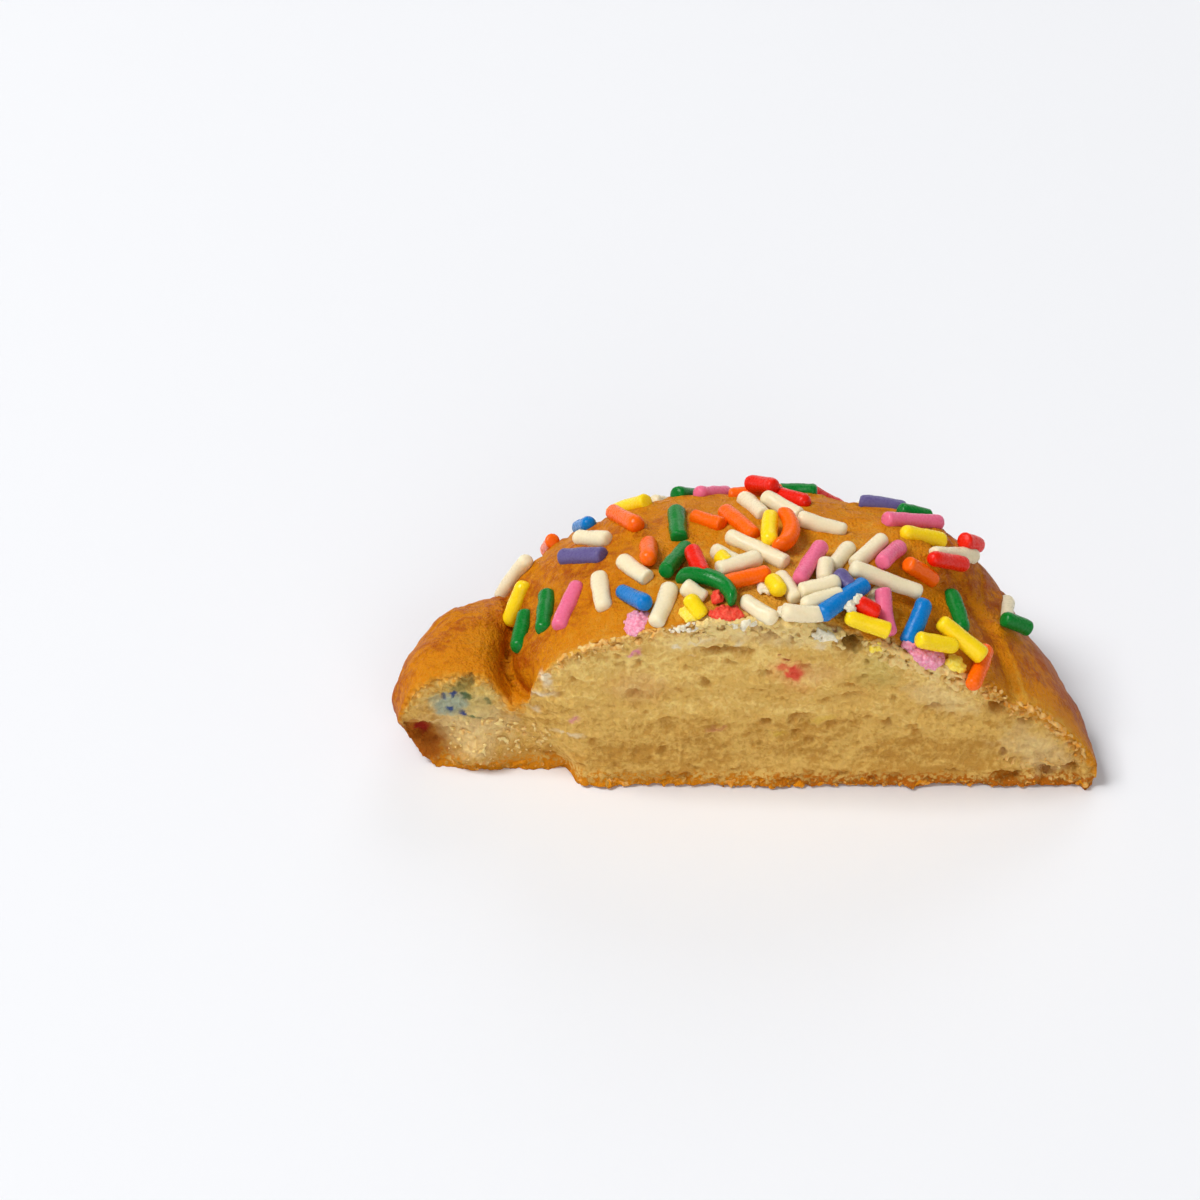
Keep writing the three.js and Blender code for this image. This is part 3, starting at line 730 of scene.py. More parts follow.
@dataclass
class Sprinkles:
    """The sugar rods, one joined mesh for each colour, with the crushed bits beside the cut."""

    crust: CrustForm
    layout: SprinkleLayout
    surface: "EdgeSurface"
    radius: float = 0.92
    sunk_share: float = 0.27
    sides: int = 16
    rings: int = 26
    end_length: float = 0.7
    end_fullness: float = 0.56
    end_variety: float = 0.24
    stack_gap: float = 0.86
    highest_lift: float = 1.5
    highest_top: float = 26.05
    crushed_voxel: float = 0.1
    rest_share: float = 0.35
    lowest_drop: float = 0.2
    lift_steps: int = 30
    thickness_variety: float = 0.07
    swell_amounts: Pair = (0.07, 0.045)
    swell_seed: int = 93
    own_seed: int = 91
    taper: float = 0.02
    bow_variety: float = 0.16
    sag_variety: float = 0.1

    def seat(self, rod: Rod, earlier: Sequence[SeatedRod]) -> SeatedRod:
        """Lays a sprinkle on the crust, and on any sprinkle that already lies there.

        Args:
            rod: The sprinkle to lay.
            earlier: Sprinkles that lie under it where they cross.

        Returns:
            The sprinkle's seat.
        """
        cos, sin = direction(rod.turn)
        steps = np.array([-self.rest_share, self.rest_share]) * rod.length
        x, y = rod.x + steps * cos, rod.y + steps * sin
        z = self.crust.height(x, y)
        middle_height = float(self.crust.height(np.array([rod.x]), np.array([rod.y]))[0])
        z = z + max(0.0, middle_height - z.mean())
        level = np.array([-sin, cos, 0.0])
        lift = self.lifts(xyz(x, y, z), level, rod, earlier)
        ends = xyz(x, y, z + lift)
        along = (ends[1] - ends[0]) / np.linalg.norm(ends[1] - ends[0])
        up = np.cross(along, level)
        middle = ends.mean(axis=0) + up * self.radius * (1.0 - 2.0 * self.sunk_share)
        return SeatedRod(rod, middle, along, level, up)

    def lifts(self, ends: Array, level: Array, rod: Rod,
              earlier: Sequence[SeatedRod]) -> Array:
        """How far each end rises so that a sprinkle clears those that it crosses.

        Args:
            ends: The two points on the crust that the sprinkle rests on.
            level: The level direction across it.
            rod: The sprinkle.
            earlier: Sprinkles that lie under it where they cross.

        Returns:
            The lift over each of the two points.
        """
        share = np.linspace(-1.0, 1.0, 11)
        lean = share / (2.0 * self.rest_share)
        weight = np.stack([(1.0 - lean) / 2.0, (1.0 + lean) / 2.0], -1)
        bow = rod.sagitta * (0.5 - share**2)
        line = weight @ ends + np.outer(bow, level)
        line[:, 2] += self.radius * (1.0 - 2.0 * self.sunk_share)
        apart = 2.0 * self.radius * self.stack_gap
        needed = np.full(len(share), -FAR_OFF)
        for other in earlier:
            below = other.mid_line(share)
            plan = np.linalg.norm(line[:, None, :2] - below[None, :, :2], axis=-1)
            over = below[None, :, 2] + np.sqrt(np.maximum(0.0, apart**2 - plan**2))
            needed = np.maximum(needed, np.where(plan < apart, over, -FAR_OFF).max(axis=1))
        lift = np.zeros(2)
        for _ in range(self.lift_steps):
            short = needed - line[:, 2] - weight @ lift
            worst = int(np.argmax(short))
            if short[worst] <= 0.0:
                break
            lift += short[worst] * weight[worst] / (weight[worst] @ weight[worst])
        headroom = self.highest_top - 2.0 * self.radius * (1.0 - self.sunk_share) - ends[:, 2]
        return np.minimum(np.clip(lift, -self.lowest_drop, self.highest_lift), headroom)

    def seats(self) -> list[SeatedRod]:
        """Every sprinkle laid in turn, so that later ones lie over earlier ones."""
        laid: list[SeatedRod] = []
        for rod in self.layout.all_rods():
            laid.append(self.seat(rod, laid))
        return laid

    def template(self) -> tuple[Array, Array, list[Face]]:
        """One blunt-ended rod, modelled from a ball whose middle rings are drawn out.

        Returns:
            Shares along the rod from -2 to 2 with 1 at a shoulder, the section's directions, and the faces.
        """
        ball = primitive("rod", bpy.ops.mesh.primitive_uv_sphere_add, segments=self.sides,
                         ring_count=self.rings, radius=1.0)
        points, faces = taken_apart(ball)
        polar = np.arccos(np.clip(points[:, 2], -1.0, 1.0))
        share = 2.0 - 4.0 * polar / math.pi
        spread = np.hypot(points[:, 0], points[:, 1])
        section = points[:, :2] / np.where(spread > 1e-6, spread, 1.0)[:, None]
        return share, np.where((spread > 1e-6)[:, None], section, 0.0), faces

    def rod_points(self, seat: SeatedRod, share: Array, section: Array, index: int) -> Array:
        """One rod's points: a slightly lumpy, tapered and bowed sugar rod.

        Args:
            seat: Where the rod lies.
            share: The template's shares along the rod.
            section: The template's section directions.
            index: The rod's number, which sets its own unevenness.

        Returns:
            The points in cookie coordinates.
        """
        own = lattice_value(np.array([[index, 3, step] for step in range(6)]), self.own_seed)
        radius = self.radius * (1.0 + self.thickness_variety * own[0])
        bluntness = np.where(share > 0.0, own[4], own[5])
        end = radius * self.end_length * (1.0 + 0.5 * bluntness)
        past = np.clip(np.abs(share) - 1.0, 0.0, 1.0) * math.pi / 2.0
        half = 0.5 * seat.rod.length
        along = np.sign(share) * ((half - end) * np.clip(np.abs(share), 0.0, 1.0) + end * np.sin(past))
        size = np.cos(past) ** (self.end_fullness + self.end_variety * bluntness)
        place = xyz(section[:, 0] * 0.9, section[:, 1] * 0.9, along / 1.4) + 17.0 * index
        broad, fine = self.swell_amounts
        swell = 1.0 + broad * noise(place, self.swell_seed) + fine * noise(2.4 * place, self.swell_seed + 1)
        across = section * (radius * (swell + self.taper * own[1] * along) * size)[:, None]
        arch = 0.5 - (along / half) ** 2
        bow = (seat.rod.sagitta + self.bow_variety * own[2]) * arch
        sag = self.sag_variety * own[3] * arch
        return (seat.middle + np.outer(along, seat.along) + np.outer(across[:, 0] + bow, seat.level)
                + np.outer(across[:, 1] + sag, seat.up))

    def build(self, seats: Sequence[SeatedRod],
              crushed: Sequence["Crushed"]) -> dict[SugarColour, Piece]:
        """Joins the rods and the crushed bits of each colour into one mesh.

        Args:
            seats: Every sprinkle's seat.
            crushed: The clusters of crushed sugar.

        Returns:
            The piece of each colour.
        """
        share, section, faces = self.template()
        shards = Shards()
        pieces = {}
        for colour in SugarColour:
            cluster = PointCluster()
            for index, seat in enumerate(seats):
                if seat.rod.colour is colour:
                    cluster.add(self.rod_points(seat, share, section, index), faces)
            for bits in crushed:
                if bits.colour is colour:
                    grains = PointCluster()
                    for points in shards.scatter(bits, self.surface):
                        grains.add(points, shards.faces)
                    cluster.add(*grains.fused(self.crushed_voxel), mark=1.0)
            pieces[colour] = cluster.to_object(f"sprinkles_{colour.value}", "crushed")
        return pieces


# ---- Crushed sugar and crumbs ----------------------------------------------------------------------


@dataclass
class Crushed:
    """A cluster of crushed sugar at the cut's upper edge.

    Its place is x along the cut and the distance over the edge, positive on the crust and negative down the
    cut; then come its spread in both, the number and size of its grains, and how far it lies above the dough.
    """

    colour: SugarColour
    x: float
    over: float
    spread_x: float
    spread_over: float
    count: int
    grain: float
    lift: float = 0.0


@dataclass
class EdgeSurface:
    """The dough's surface either side of the cut's upper edge."""

    crust: CrustForm
    cut: CutForm
    step: float = 0.2
    out_of_cut: Triple = (0.0, -1.0, 0.2)

    def place(self, x: float, over: float) -> tuple[Array, Array]:
        """A place near the edge.

        Args:
            x: The place along the cut.
            over: The distance from the edge, positive on the crust and negative down the cut.

        Returns:
            The place and the outward direction there.
        """
        along = np.array([x])
        edge = crust_edge(self.crust, along)
        if over < 0.0:
            back = self.cut.finished(along, edge + over, -np.full(1, over))
            return np.array([x, back[0], edge[0] + over]), np.array(self.out_of_cut)
        xs = np.array([x, x + self.step, x])
        ys = np.array([over, over, over + self.step])
        z = self.crust.height(xs, ys)
        normal = np.array([(z[0] - z[1]) / self.step, (z[0] - z[2]) / self.step, 1.0])
        return np.array([x, over, z[0]]), normal / np.linalg.norm(normal)


@dataclass
class PointCluster:
    """Points and faces of many small closed shapes, gathered into one mesh, with marks for their finish."""

    points: list[Array] = field(default_factory=list)
    faces: list[Face] = field(default_factory=list)
    marks: list[Array] = field(default_factory=list)
    total: int = 0
    skin_lumps: Lumps = Lumps(0.06, 0.35, 97)

    def add(self, points: Array, faces: Sequence[Face], mark: float = 0.0) -> None:
        """Adds one closed shape, with a mark from 0 to 1 for its finish."""
        self.points.append(points)
        self.marks.append(np.full(len(points), mark))
        self.faces.extend(tuple(corner + self.total for corner in face) for face in faces)
        self.total += len(points)

    def fused(self, voxel: float) -> tuple[Array, list[Face]]:
        """Melts the gathered shapes together where they touch.

        Args:
            voxel: The size of the new facets.

        Returns:
            The points and faces of the closed result.
        """
        piece = piece_from("fused", np.concatenate(self.points), self.faces)
        one_skin(piece, voxel)
        normals = read_normals(piece)
        points, faces = taken_apart(piece)
        return points + normals * self.skin_lumps.rough(points)[:, None], faces

    def to_object(self, name: str, mark_name: str) -> Piece:
        """Makes the joined mesh, in metres in the part's frame.

        Args:
            name: The object's name.
            mark_name: The name of the attribute that holds the marks.

        Returns:
            The new object.
        """
        piece = piece_from(name, to_frame(np.concatenate(self.points)), self.faces)
        piece.data.polygons.foreach_set("use_smooth", np.ones(len(self.faces), bool))
        piece.data.update()
        write_attribute(piece, mark_name, np.concatenate(self.marks))
        return piece


@dataclass
class Shards:
    """Small angular grains, all copies of one chipped ball."""

    chip_seed: int = 101
    chips: int = 6
    chip_depth: float = 0.34
    chip_variety: float = 0.3
    tip: float = 0.9
    disc: float = 1.15
    lobes: float = 3.0
    unevenness: float = 0.15
    heap: float = 0.5

    def __post_init__(self) -> None:
        """Models the ball that every grain is chipped from."""
        ball = primitive("shard", bpy.ops.mesh.primitive_ico_sphere_add, subdivisions=2, radius=1.0)
        self.unit, self.faces = taken_apart(ball)

    def grain(self, place: Array, outward: Array, size: float,
              draw: Callable[[], float]) -> Array:
        """One grain: the ball stretched, chipped flat on a few sides, and laid on the surface.

        Args:
            place: The grain's middle.
            outward: The surface's outward direction, along which the grain is thin.
            size: The grain's radius.
            draw: The stream of random numbers.

        Returns:
            The grain's points.
        """
        points = self.unit * np.array([0.8 + 0.6 * draw(), 0.7 + 0.5 * draw(), 0.55 + 0.45 * draw()])
        for _ in range(self.chips):
            side = np.array([draw() - 0.5, draw() - 0.5, draw() - 0.5])
            side = side / np.linalg.norm(side)
            over = np.maximum(0.0, points @ side - (self.chip_depth + self.chip_variety * draw()))
            points = points - np.outer(over, side)
        spin = Matrix.Rotation(2.0 * math.pi * draw(), 3, "Z")
        tip = Matrix.Rotation(self.tip * (draw() - 0.5), 3, "X")
        lie = Vector(outward).to_track_quat("Z", "Y").to_matrix() @ tip @ spin
        return points @ np.array(lie).T * size + place

    def scatter(self, bits: Crushed, surface: EdgeSurface) -> Iterator[Array]:
        """Grains of one cluster, spread evenly over an uneven disc and heaped a little in its middle.

        Args:
            bits: The cluster.
            surface: The dough that it lies on.

        Yields:
            Each grain's points.
        """
        draw = seeded_random(self.chip_seed + round(abs(100.0 * bits.x)))
        for _ in range(bits.count):
            turn, reach = 2.0 * math.pi * draw(), self.disc * math.sqrt(draw())
            reach *= 1.0 - self.unevenness + self.unevenness * math.sin(self.lobes * turn + bits.x)
            side, ahead = reach * math.cos(turn), reach * math.sin(turn)
            x, over = bits.x + side * bits.spread_x, bits.over + ahead * bits.spread_over
            place, outward = surface.place(x, over)
            size = bits.grain * (0.45 + 0.6 * draw() ** 2) * (1.1 - 0.2 * reach)
            above = bits.lift + self.heap * draw() * math.exp(-2.0 * reach**2)
            yield self.grain(place + outward * above, outward, size, draw)


@dataclass
class CrumbBand:
    """Crumbs along a stretch of the cut: where it runs, how far it spreads, and how toasted it is.

    A band along the crust's edge has no height above the base, and it drapes over the edge.
    """

    from_x: float
    to_x: float
    above_base: float | None
    spread: float
    count: int
    grain: float
    toast: float
    seed: int


@dataclass
class Crumbs:
    """Grains of crumb that stand on the cut's ragged edges."""

    surface: EdgeSurface
    bands: tuple[CrumbBand, ...] = (
        CrumbBand(-20.0, -4.0, None, 1.6, 240, 0.36, 0.4, 1),
        CrumbBand(-6.0, 10.0, None, 2.4, 460, 0.5, -0.1, 2),
        CrumbBand(12.0, 24.0, None, 2.2, 340, 0.5, 0.05, 3),
        CrumbBand(24.0, 36.5, None, 2.0, 300, 0.34, 0.6, 4),
        CrumbBand(-32.0, 37.0, 0.6, 1.0, 320, 0.42, 0.85, 5),
        CrumbBand(-32.0, -21.0, 4.2, 5.6, 190, 0.36, 0.15, 6),
        CrumbBand(27.0, 36.0, 2.6, 3.0, 100, 0.32, 0.4, 7),
    )
    over_edge: float = 0.9
    down_bias: float = 1.3
    lowest_under_edge: float = 0.1
    first_seed: int = 200
    grain_sizes: Pair = (0.3, 0.8)
    sunk: float = 0.4
    voxel: float = 0.14

    def place(self, band: CrumbBand, x: float, draw: Callable[[], float]) -> tuple[Array, Array]:
        """Picks one grain's place.

        Args:
            band: The band that the grain belongs to.
            x: The place along the cut.
            draw: The stream of random numbers.

        Returns:
            The place and the outward direction there.
        """
        if band.above_base is None:
            down = (band.spread + self.over_edge) * draw() ** self.down_bias
            return self.surface.place(x, self.over_edge - down)
        top = float(crust_edge(self.surface.crust, np.array([x]))[0])
        z = band.above_base + band.spread * (draw() - 0.5)
        return self.surface.place(x, min(z - top, -self.lowest_under_edge))

    def build(self) -> Piece:
        """Strews every band and joins the grains."""
        shards = Shards()
        cluster = PointCluster()
        smallest, variety = self.grain_sizes
        for band in self.bands:
            draw = seeded_random(band.seed + self.first_seed)
            grains = PointCluster()
            for _ in range(band.count):
                place, outward = self.place(band, band.from_x + (band.to_x - band.from_x) * draw(), draw)
                size = band.grain * (smallest + variety * draw() ** 2)
                place[2] = max(place[2], size)
                sunk = place - self.sunk * size * outward
                grains.add(shards.grain(sunk, outward, size, draw), shards.faces)
            cluster.add(*grains.fused(self.voxel), mark=band.toast)
        return cluster.to_object("cookie_crumbs", "toast")


# ---- Mesh helpers ------------------------------------------------------------------------------------


def primitive(name: str, add: Callable[..., set[str]], **sizes: float) -> Piece:
    """Adds a primitive with nothing else selected, and names it."""
    bpy.ops.object.select_all(action="DESELECT")
    add(**sizes)
    piece = bpy.context.object
    piece.name = name
    piece.data.name = name
    return piece


def select_only(*pieces: Piece) -> None:
    """Selects these pieces alone, the first of them active."""
    bpy.ops.object.select_all(action="DESELECT")
    for piece in pieces:
        piece.select_set(True)
    bpy.context.view_layer.objects.active = pieces[0]


def piece_from(name: str, points: Array, faces: Sequence[Face]) -> Piece:
    """Makes a piece from its points and faces."""
    mesh = bpy.data.meshes.new(name)
    mesh.from_pydata(points.tolist(), [], faces)
    piece = bpy.data.objects.new(name, mesh)
    bpy.context.scene.collection.objects.link(piece)
    return piece


def taken_apart(piece: Piece) -> tuple[Array, list[Face]]:
    """A piece's points and faces, for which the piece itself is given up."""
    mesh = piece.data
    points, faces = read_points(piece), [tuple(face.vertices) for face in mesh.polygons]
    bpy.data.objects.remove(piece)
    bpy.data.meshes.remove(mesh)
    return points, faces


def one_skin(piece: Piece, voxel: float) -> None:
    """Melts a piece's closed shapes together where they touch, and gives it facets of this size."""
    select_only(piece)
    remesh = piece.modifiers.new("one_skin", "REMESH")
    remesh.mode = "VOXEL"
    remesh.voxel_size = voxel
    bpy.ops.object.modifier_apply(modifier=remesh.name)


def read_points(piece: Piece) -> Array:
    """A mesh's vertices as an array."""
    flat = np.empty(len(piece.data.vertices) * 3)
    piece.data.vertices.foreach_get("co", flat)
    return flat.reshape(-1, 3)


def read_normals(piece: Piece) -> Array:
    """A mesh's vertex normals as an array."""
    flat = np.empty(len(piece.data.vertices) * 3)
    piece.data.vertex_normals.foreach_get("vector", flat)
    return flat.reshape(-1, 3)


def write_points(piece: Piece, points: Array) -> None:
    """Moves a mesh's vertices."""
    piece.data.vertices.foreach_set("co", points.ravel())
    piece.data.update()


def write_attribute(piece: Piece, name: str, values: Array) -> None:
    """Stores a value for each vertex."""
    layer = piece.data.attributes.new(name, "FLOAT", "POINT")
    layer.data.foreach_set("value", np.asarray(values, np.float32))


def write_colours(piece: Piece, name: str, values: Array) -> None:
    """Stores a colour with its strength for each vertex."""
    layer = piece.data.color_attributes.new(name, "FLOAT_COLOR", "POINT")
    layer.data.foreach_set("color", np.asarray(values, np.float32).ravel())


def to_frame(points: Array) -> Array:
    """From cookie coordinates in millimetres to the part's frame in metres."""
    return (points - np.array([BOX_MIDDLE[0], BOX_MIDDLE[1], 0.0])) * MM


def smooth_by_angle(piece: Piece, degrees: float) -> None:
    """Shades a piece smooth, apart from edges sharper than an angle."""
    select_only(piece)
    bpy.ops.object.shade_smooth_by_angle(angle=math.radians(degrees))


def select_faces(piece: Piece, chosen: Array) -> None:
    """Selects the chosen faces alone, ready for edit mode."""
    mesh = piece.data
    mesh.vertices.foreach_set("select", np.zeros(len(mesh.vertices), bool))
    mesh.edges.foreach_set("select", np.zeros(len(mesh.edges), bool))
    mesh.polygons.foreach_set("select", chosen)
    bpy.context.tool_settings.mesh_select_mode = (False, False, True)


# ---- The baked half ------------------------------------------------------------------------------------


class Stain(NamedTuple):
    """Dye or sugar in the cut, or painted shade in a deep hollow of it: its place, its spread along and
    across its tilt, strength and colour.
    """

    x: float
    z: float
    spread_x: float
    spread_z: float
    tilt: float
    strength: float
    colour: Tone


CORAL = (226, 78, 60)
DARK_RED = (140, 18, 14)
ROSE = (226, 128, 172)
BROWN_PINK = (196, 112, 92)
SOFT_YELLOW = (232, 200, 70)
SUGAR_WHITE = (240, 226, 196)
# Partly green dye, partly painted shade of the deepest pit.
OLIVE_AND_PIT_SHADE = (128, 98, 34)
PALE_GREEN = (176, 168, 92)
LEAF_GREEN = (52, 98, 26)
PALE_BLUE = (158, 170, 150)
INK_BLUE = (24, 58, 122)
INK_GREEN = (30, 82, 50)
# Painted shade of the deep hollow at the left foot.
FOOT_HOLLOW_SHADE = (158, 84, 14)
PALE_CRUMB = (238, 216, 164)
DULL_PINK = (214, 156, 112)

STAINS = tuple(Stain(*place, colour) for colour, places in (
    (PALE_CRUMB, (
        (3.4, 21.6, 7.0, 1.7, -3, 0.5), (-5.5, 20.8, 5.0, 1.3, 8, 0.3), (20.5, 12.6, 4.5, 1.6, -25, 0.35),
        (31.0, 5.0, 4.5, 2.4, -30, 0.4), (-29.5, 6.5, 4.8, 4.4, 0, 0.5),
    )),
    (DULL_PINK, ((-11.5, 14.0, 3.6, 2.4, 0, 0.28), (7.5, 16.0, 2.6, 1.2, 0, 0.25))),
    (CORAL, ((4.6, 15.9, 3.0, 2.0, -45, 0.22), (4.7, 15.8, 1.6, 0.95, -45, 0.95))),
    (DARK_RED, (
        (4.15, 18.0, 0.4, 0.35, 0, 0.9), (3.0, 18.8, 0.3, 0.25, 0, 0.8), (6.0, 17.4, 1.2, 0.16, -15, 0.5),
    )),
    (PALE_GREEN, ((13.5, 16.5, 2.4, 3.0, 0, 0.34),)),
    # Partly green dye, partly painted shade: dark olive laid into the deepest pit under the crust.
    (OLIVE_AND_PIT_SHADE, ((10.6, 20.2, 1.5, 1.5, 0, 0.75),)),
    (LEAF_GREEN, ((14.4, 20.0, 0.55, 0.35, 0, 0.8),)),
    (ROSE, ((-12.0, 18.7, 0.85, 0.6, 0, 0.75), (-18.3, 9.2, 0.6, 0.4, 0, 0.55))),
    (BROWN_PINK, ((-3.4, 7.8, 1.3, 0.45, 0, 0.5),)),
    (SOFT_YELLOW, ((3.35, 7.3, 0.7, 0.4, 10, 0.45), (7.7, 9.5, 1.6, 0.5, 10, 0.3))),
    (SUGAR_WHITE, (
        (-7.9, 20.0, 0.5, 0.35, 0, 0.8), (-5.6, 20.6, 1.1, 0.4, 10, 0.7), (-1.0, 22.4, 1.8, 0.7, 5, 0.55),
        (-1.3, 20.3, 0.7, 0.3, 0, 0.5), (7.6, 19.9, 0.6, 0.4, 0, 0.6), (9.0, 22.0, 0.8, 0.4, 20, 0.7),
        (-6.2, 18.5, 0.4, 0.3, 0, 0.6), (-21.3, 14.9, 0.9, 1.3, 15, 0.8), (-22.0, 12.5, 1.4, 0.45, 5, 0.7),
        (-19.0, 7.1, 1.8, 0.4, 0, 0.55), (-22.6, 9.9, 0.8, 0.4, 0, 0.4),
    )),
    (PALE_GREEN, ((-29.8, 9.6, 3.6, 3.0, -10, 0.36),)),
    (PALE_BLUE, ((-31.7, 8.8, 2.2, 1.6, 20, 0.85),)),
    (INK_BLUE, (
        (-30.3, 7.8, 0.4, 0.6, 30, 0.95), (-31.0, 10.2, 0.8, 0.35, 50, 0.9), (-31.6, 8.2, 0.6, 0.3, 0, 0.9),
        (-32.6, 9.7, 0.5, 0.3, 40, 0.7),
    )),
    (INK_GREEN, (
        (-28.9, 7.1, 0.9, 0.25, -10, 0.9), (-29.7, 10.2, 0.6, 0.5, 20, 0.8),
        (-30.4, 11.6, 1.5, 1.0, 30, 0.5), (-27.6, 9.4, 0.5, 0.3, 0, 0.6),
    )),
    # Painted shade: brown laid into the deep hollow at the left foot.
    (FOOT_HOLLOW_SHADE, ((-35.4, 2.6, 3.4, 2.6, -25, 0.95),)),
    (DARK_RED, ((-35.1, 3.9, 0.8, 1.0, 0, 0.9),)),
) for place in places)


def linear(colour: Sequence[float]) -> Array:
    """A colour of 0 to 255 steps as linear light."""
    share = np.asarray(colour, float) / 255.0
    return np.where(share <= 0.04045, share / 12.92, ((share + 0.055) / 1.055) ** 2.4)


@dataclass
class BrowningAndSheen:
    """Where the crust baked brown and where it stayed pale, with a painted highlight along the crease's lip.
    """

    crust: CrustForm
    ground: float = 0.43
    slope: float = 0.34
    foot: float = 0.35
    foot_reach: float = 2.4
    pale_crown: Swell = Swell(3.0, 6.0, 13.0, 8.0, -0.42)
    right_slope: float = 0.17
    left_side: float = 0.1
    lip: float = 0.3
    # Painted highlight: how much paler the crease's outer lip is drawn, where it shows near the cut.
    lip_past_crease: float = 1.5
    lip_width: float = 0.24
    cut_reach: float = 1.9
    cut_right: float = 0.6
    cut_left: float = 0.4
    patches: tuple[Lumps, Lumps] = (Lumps(0.15, 7.0, 63), Lumps(0.08, 1.8, 65))
    raised: float = 0.4
    cracked: float = 0.25

    def at(self, points: Array, normals: Array, relief: Array,
           cracks: Array) -> Array:
        """How brown each place of the crust baked, from 0 for pale to 1 for dark, lowered along the crease's
        lip as a painted highlight.

        Args:
            points: Places on the crust.
            normals: Their outward directions.
            relief: The crust's fine relief there.
            cracks: How cracked the crust is there.

        Returns:
            The browning, with the painted highlight along the crease's lip in it.
        """
        x, y, z = points.T
        slope = 1.0 - np.clip(normals[:, 2], 0.0, 1.0)
        bake_and_sheen = self.ground + self.slope * slope**1.5 + self.foot * np.exp(-z / self.foot_reach)
        bake_and_sheen = bumps(x, y, (self.pale_crown,), bake_and_sheen)
        bake_and_sheen = bake_and_sheen + self.right_slope * smooth(x, 15.0, 24.0) * smooth(slope, 0.08, 0.4)
        bake_and_sheen = bake_and_sheen + self.left_side * (1.0 - smooth(x, -16.0, -9.0))
        # Painted highlight: a pale line along the crease's outer lip, on the right near the cut.
        past_lip = (self.crust.past_crease(x, y) - self.lip_past_crease) / self.lip_width
        shown = smooth(y, 0.8, 2.0) * (1.0 - smooth(y, 6.0, 9.0)) * (x > 0.0)
        bake_and_sheen = bake_and_sheen - self.lip * np.exp(-(past_lip**2)) * shown
        tips = self.cut_right * smooth(x, 23.0, 28.0) + self.cut_left * (1.0 - smooth(x, -18.0, -10.0))
        bake_and_sheen = bake_and_sheen - np.exp(-y / self.cut_reach) * tips
        bake_and_sheen = bake_and_sheen + self.patches[0].rough(points) + self.patches[1].rough(points)
        return np.clip(bake_and_sheen + self.raised * relief - self.cracked * cracks, 0.0, 1.0)


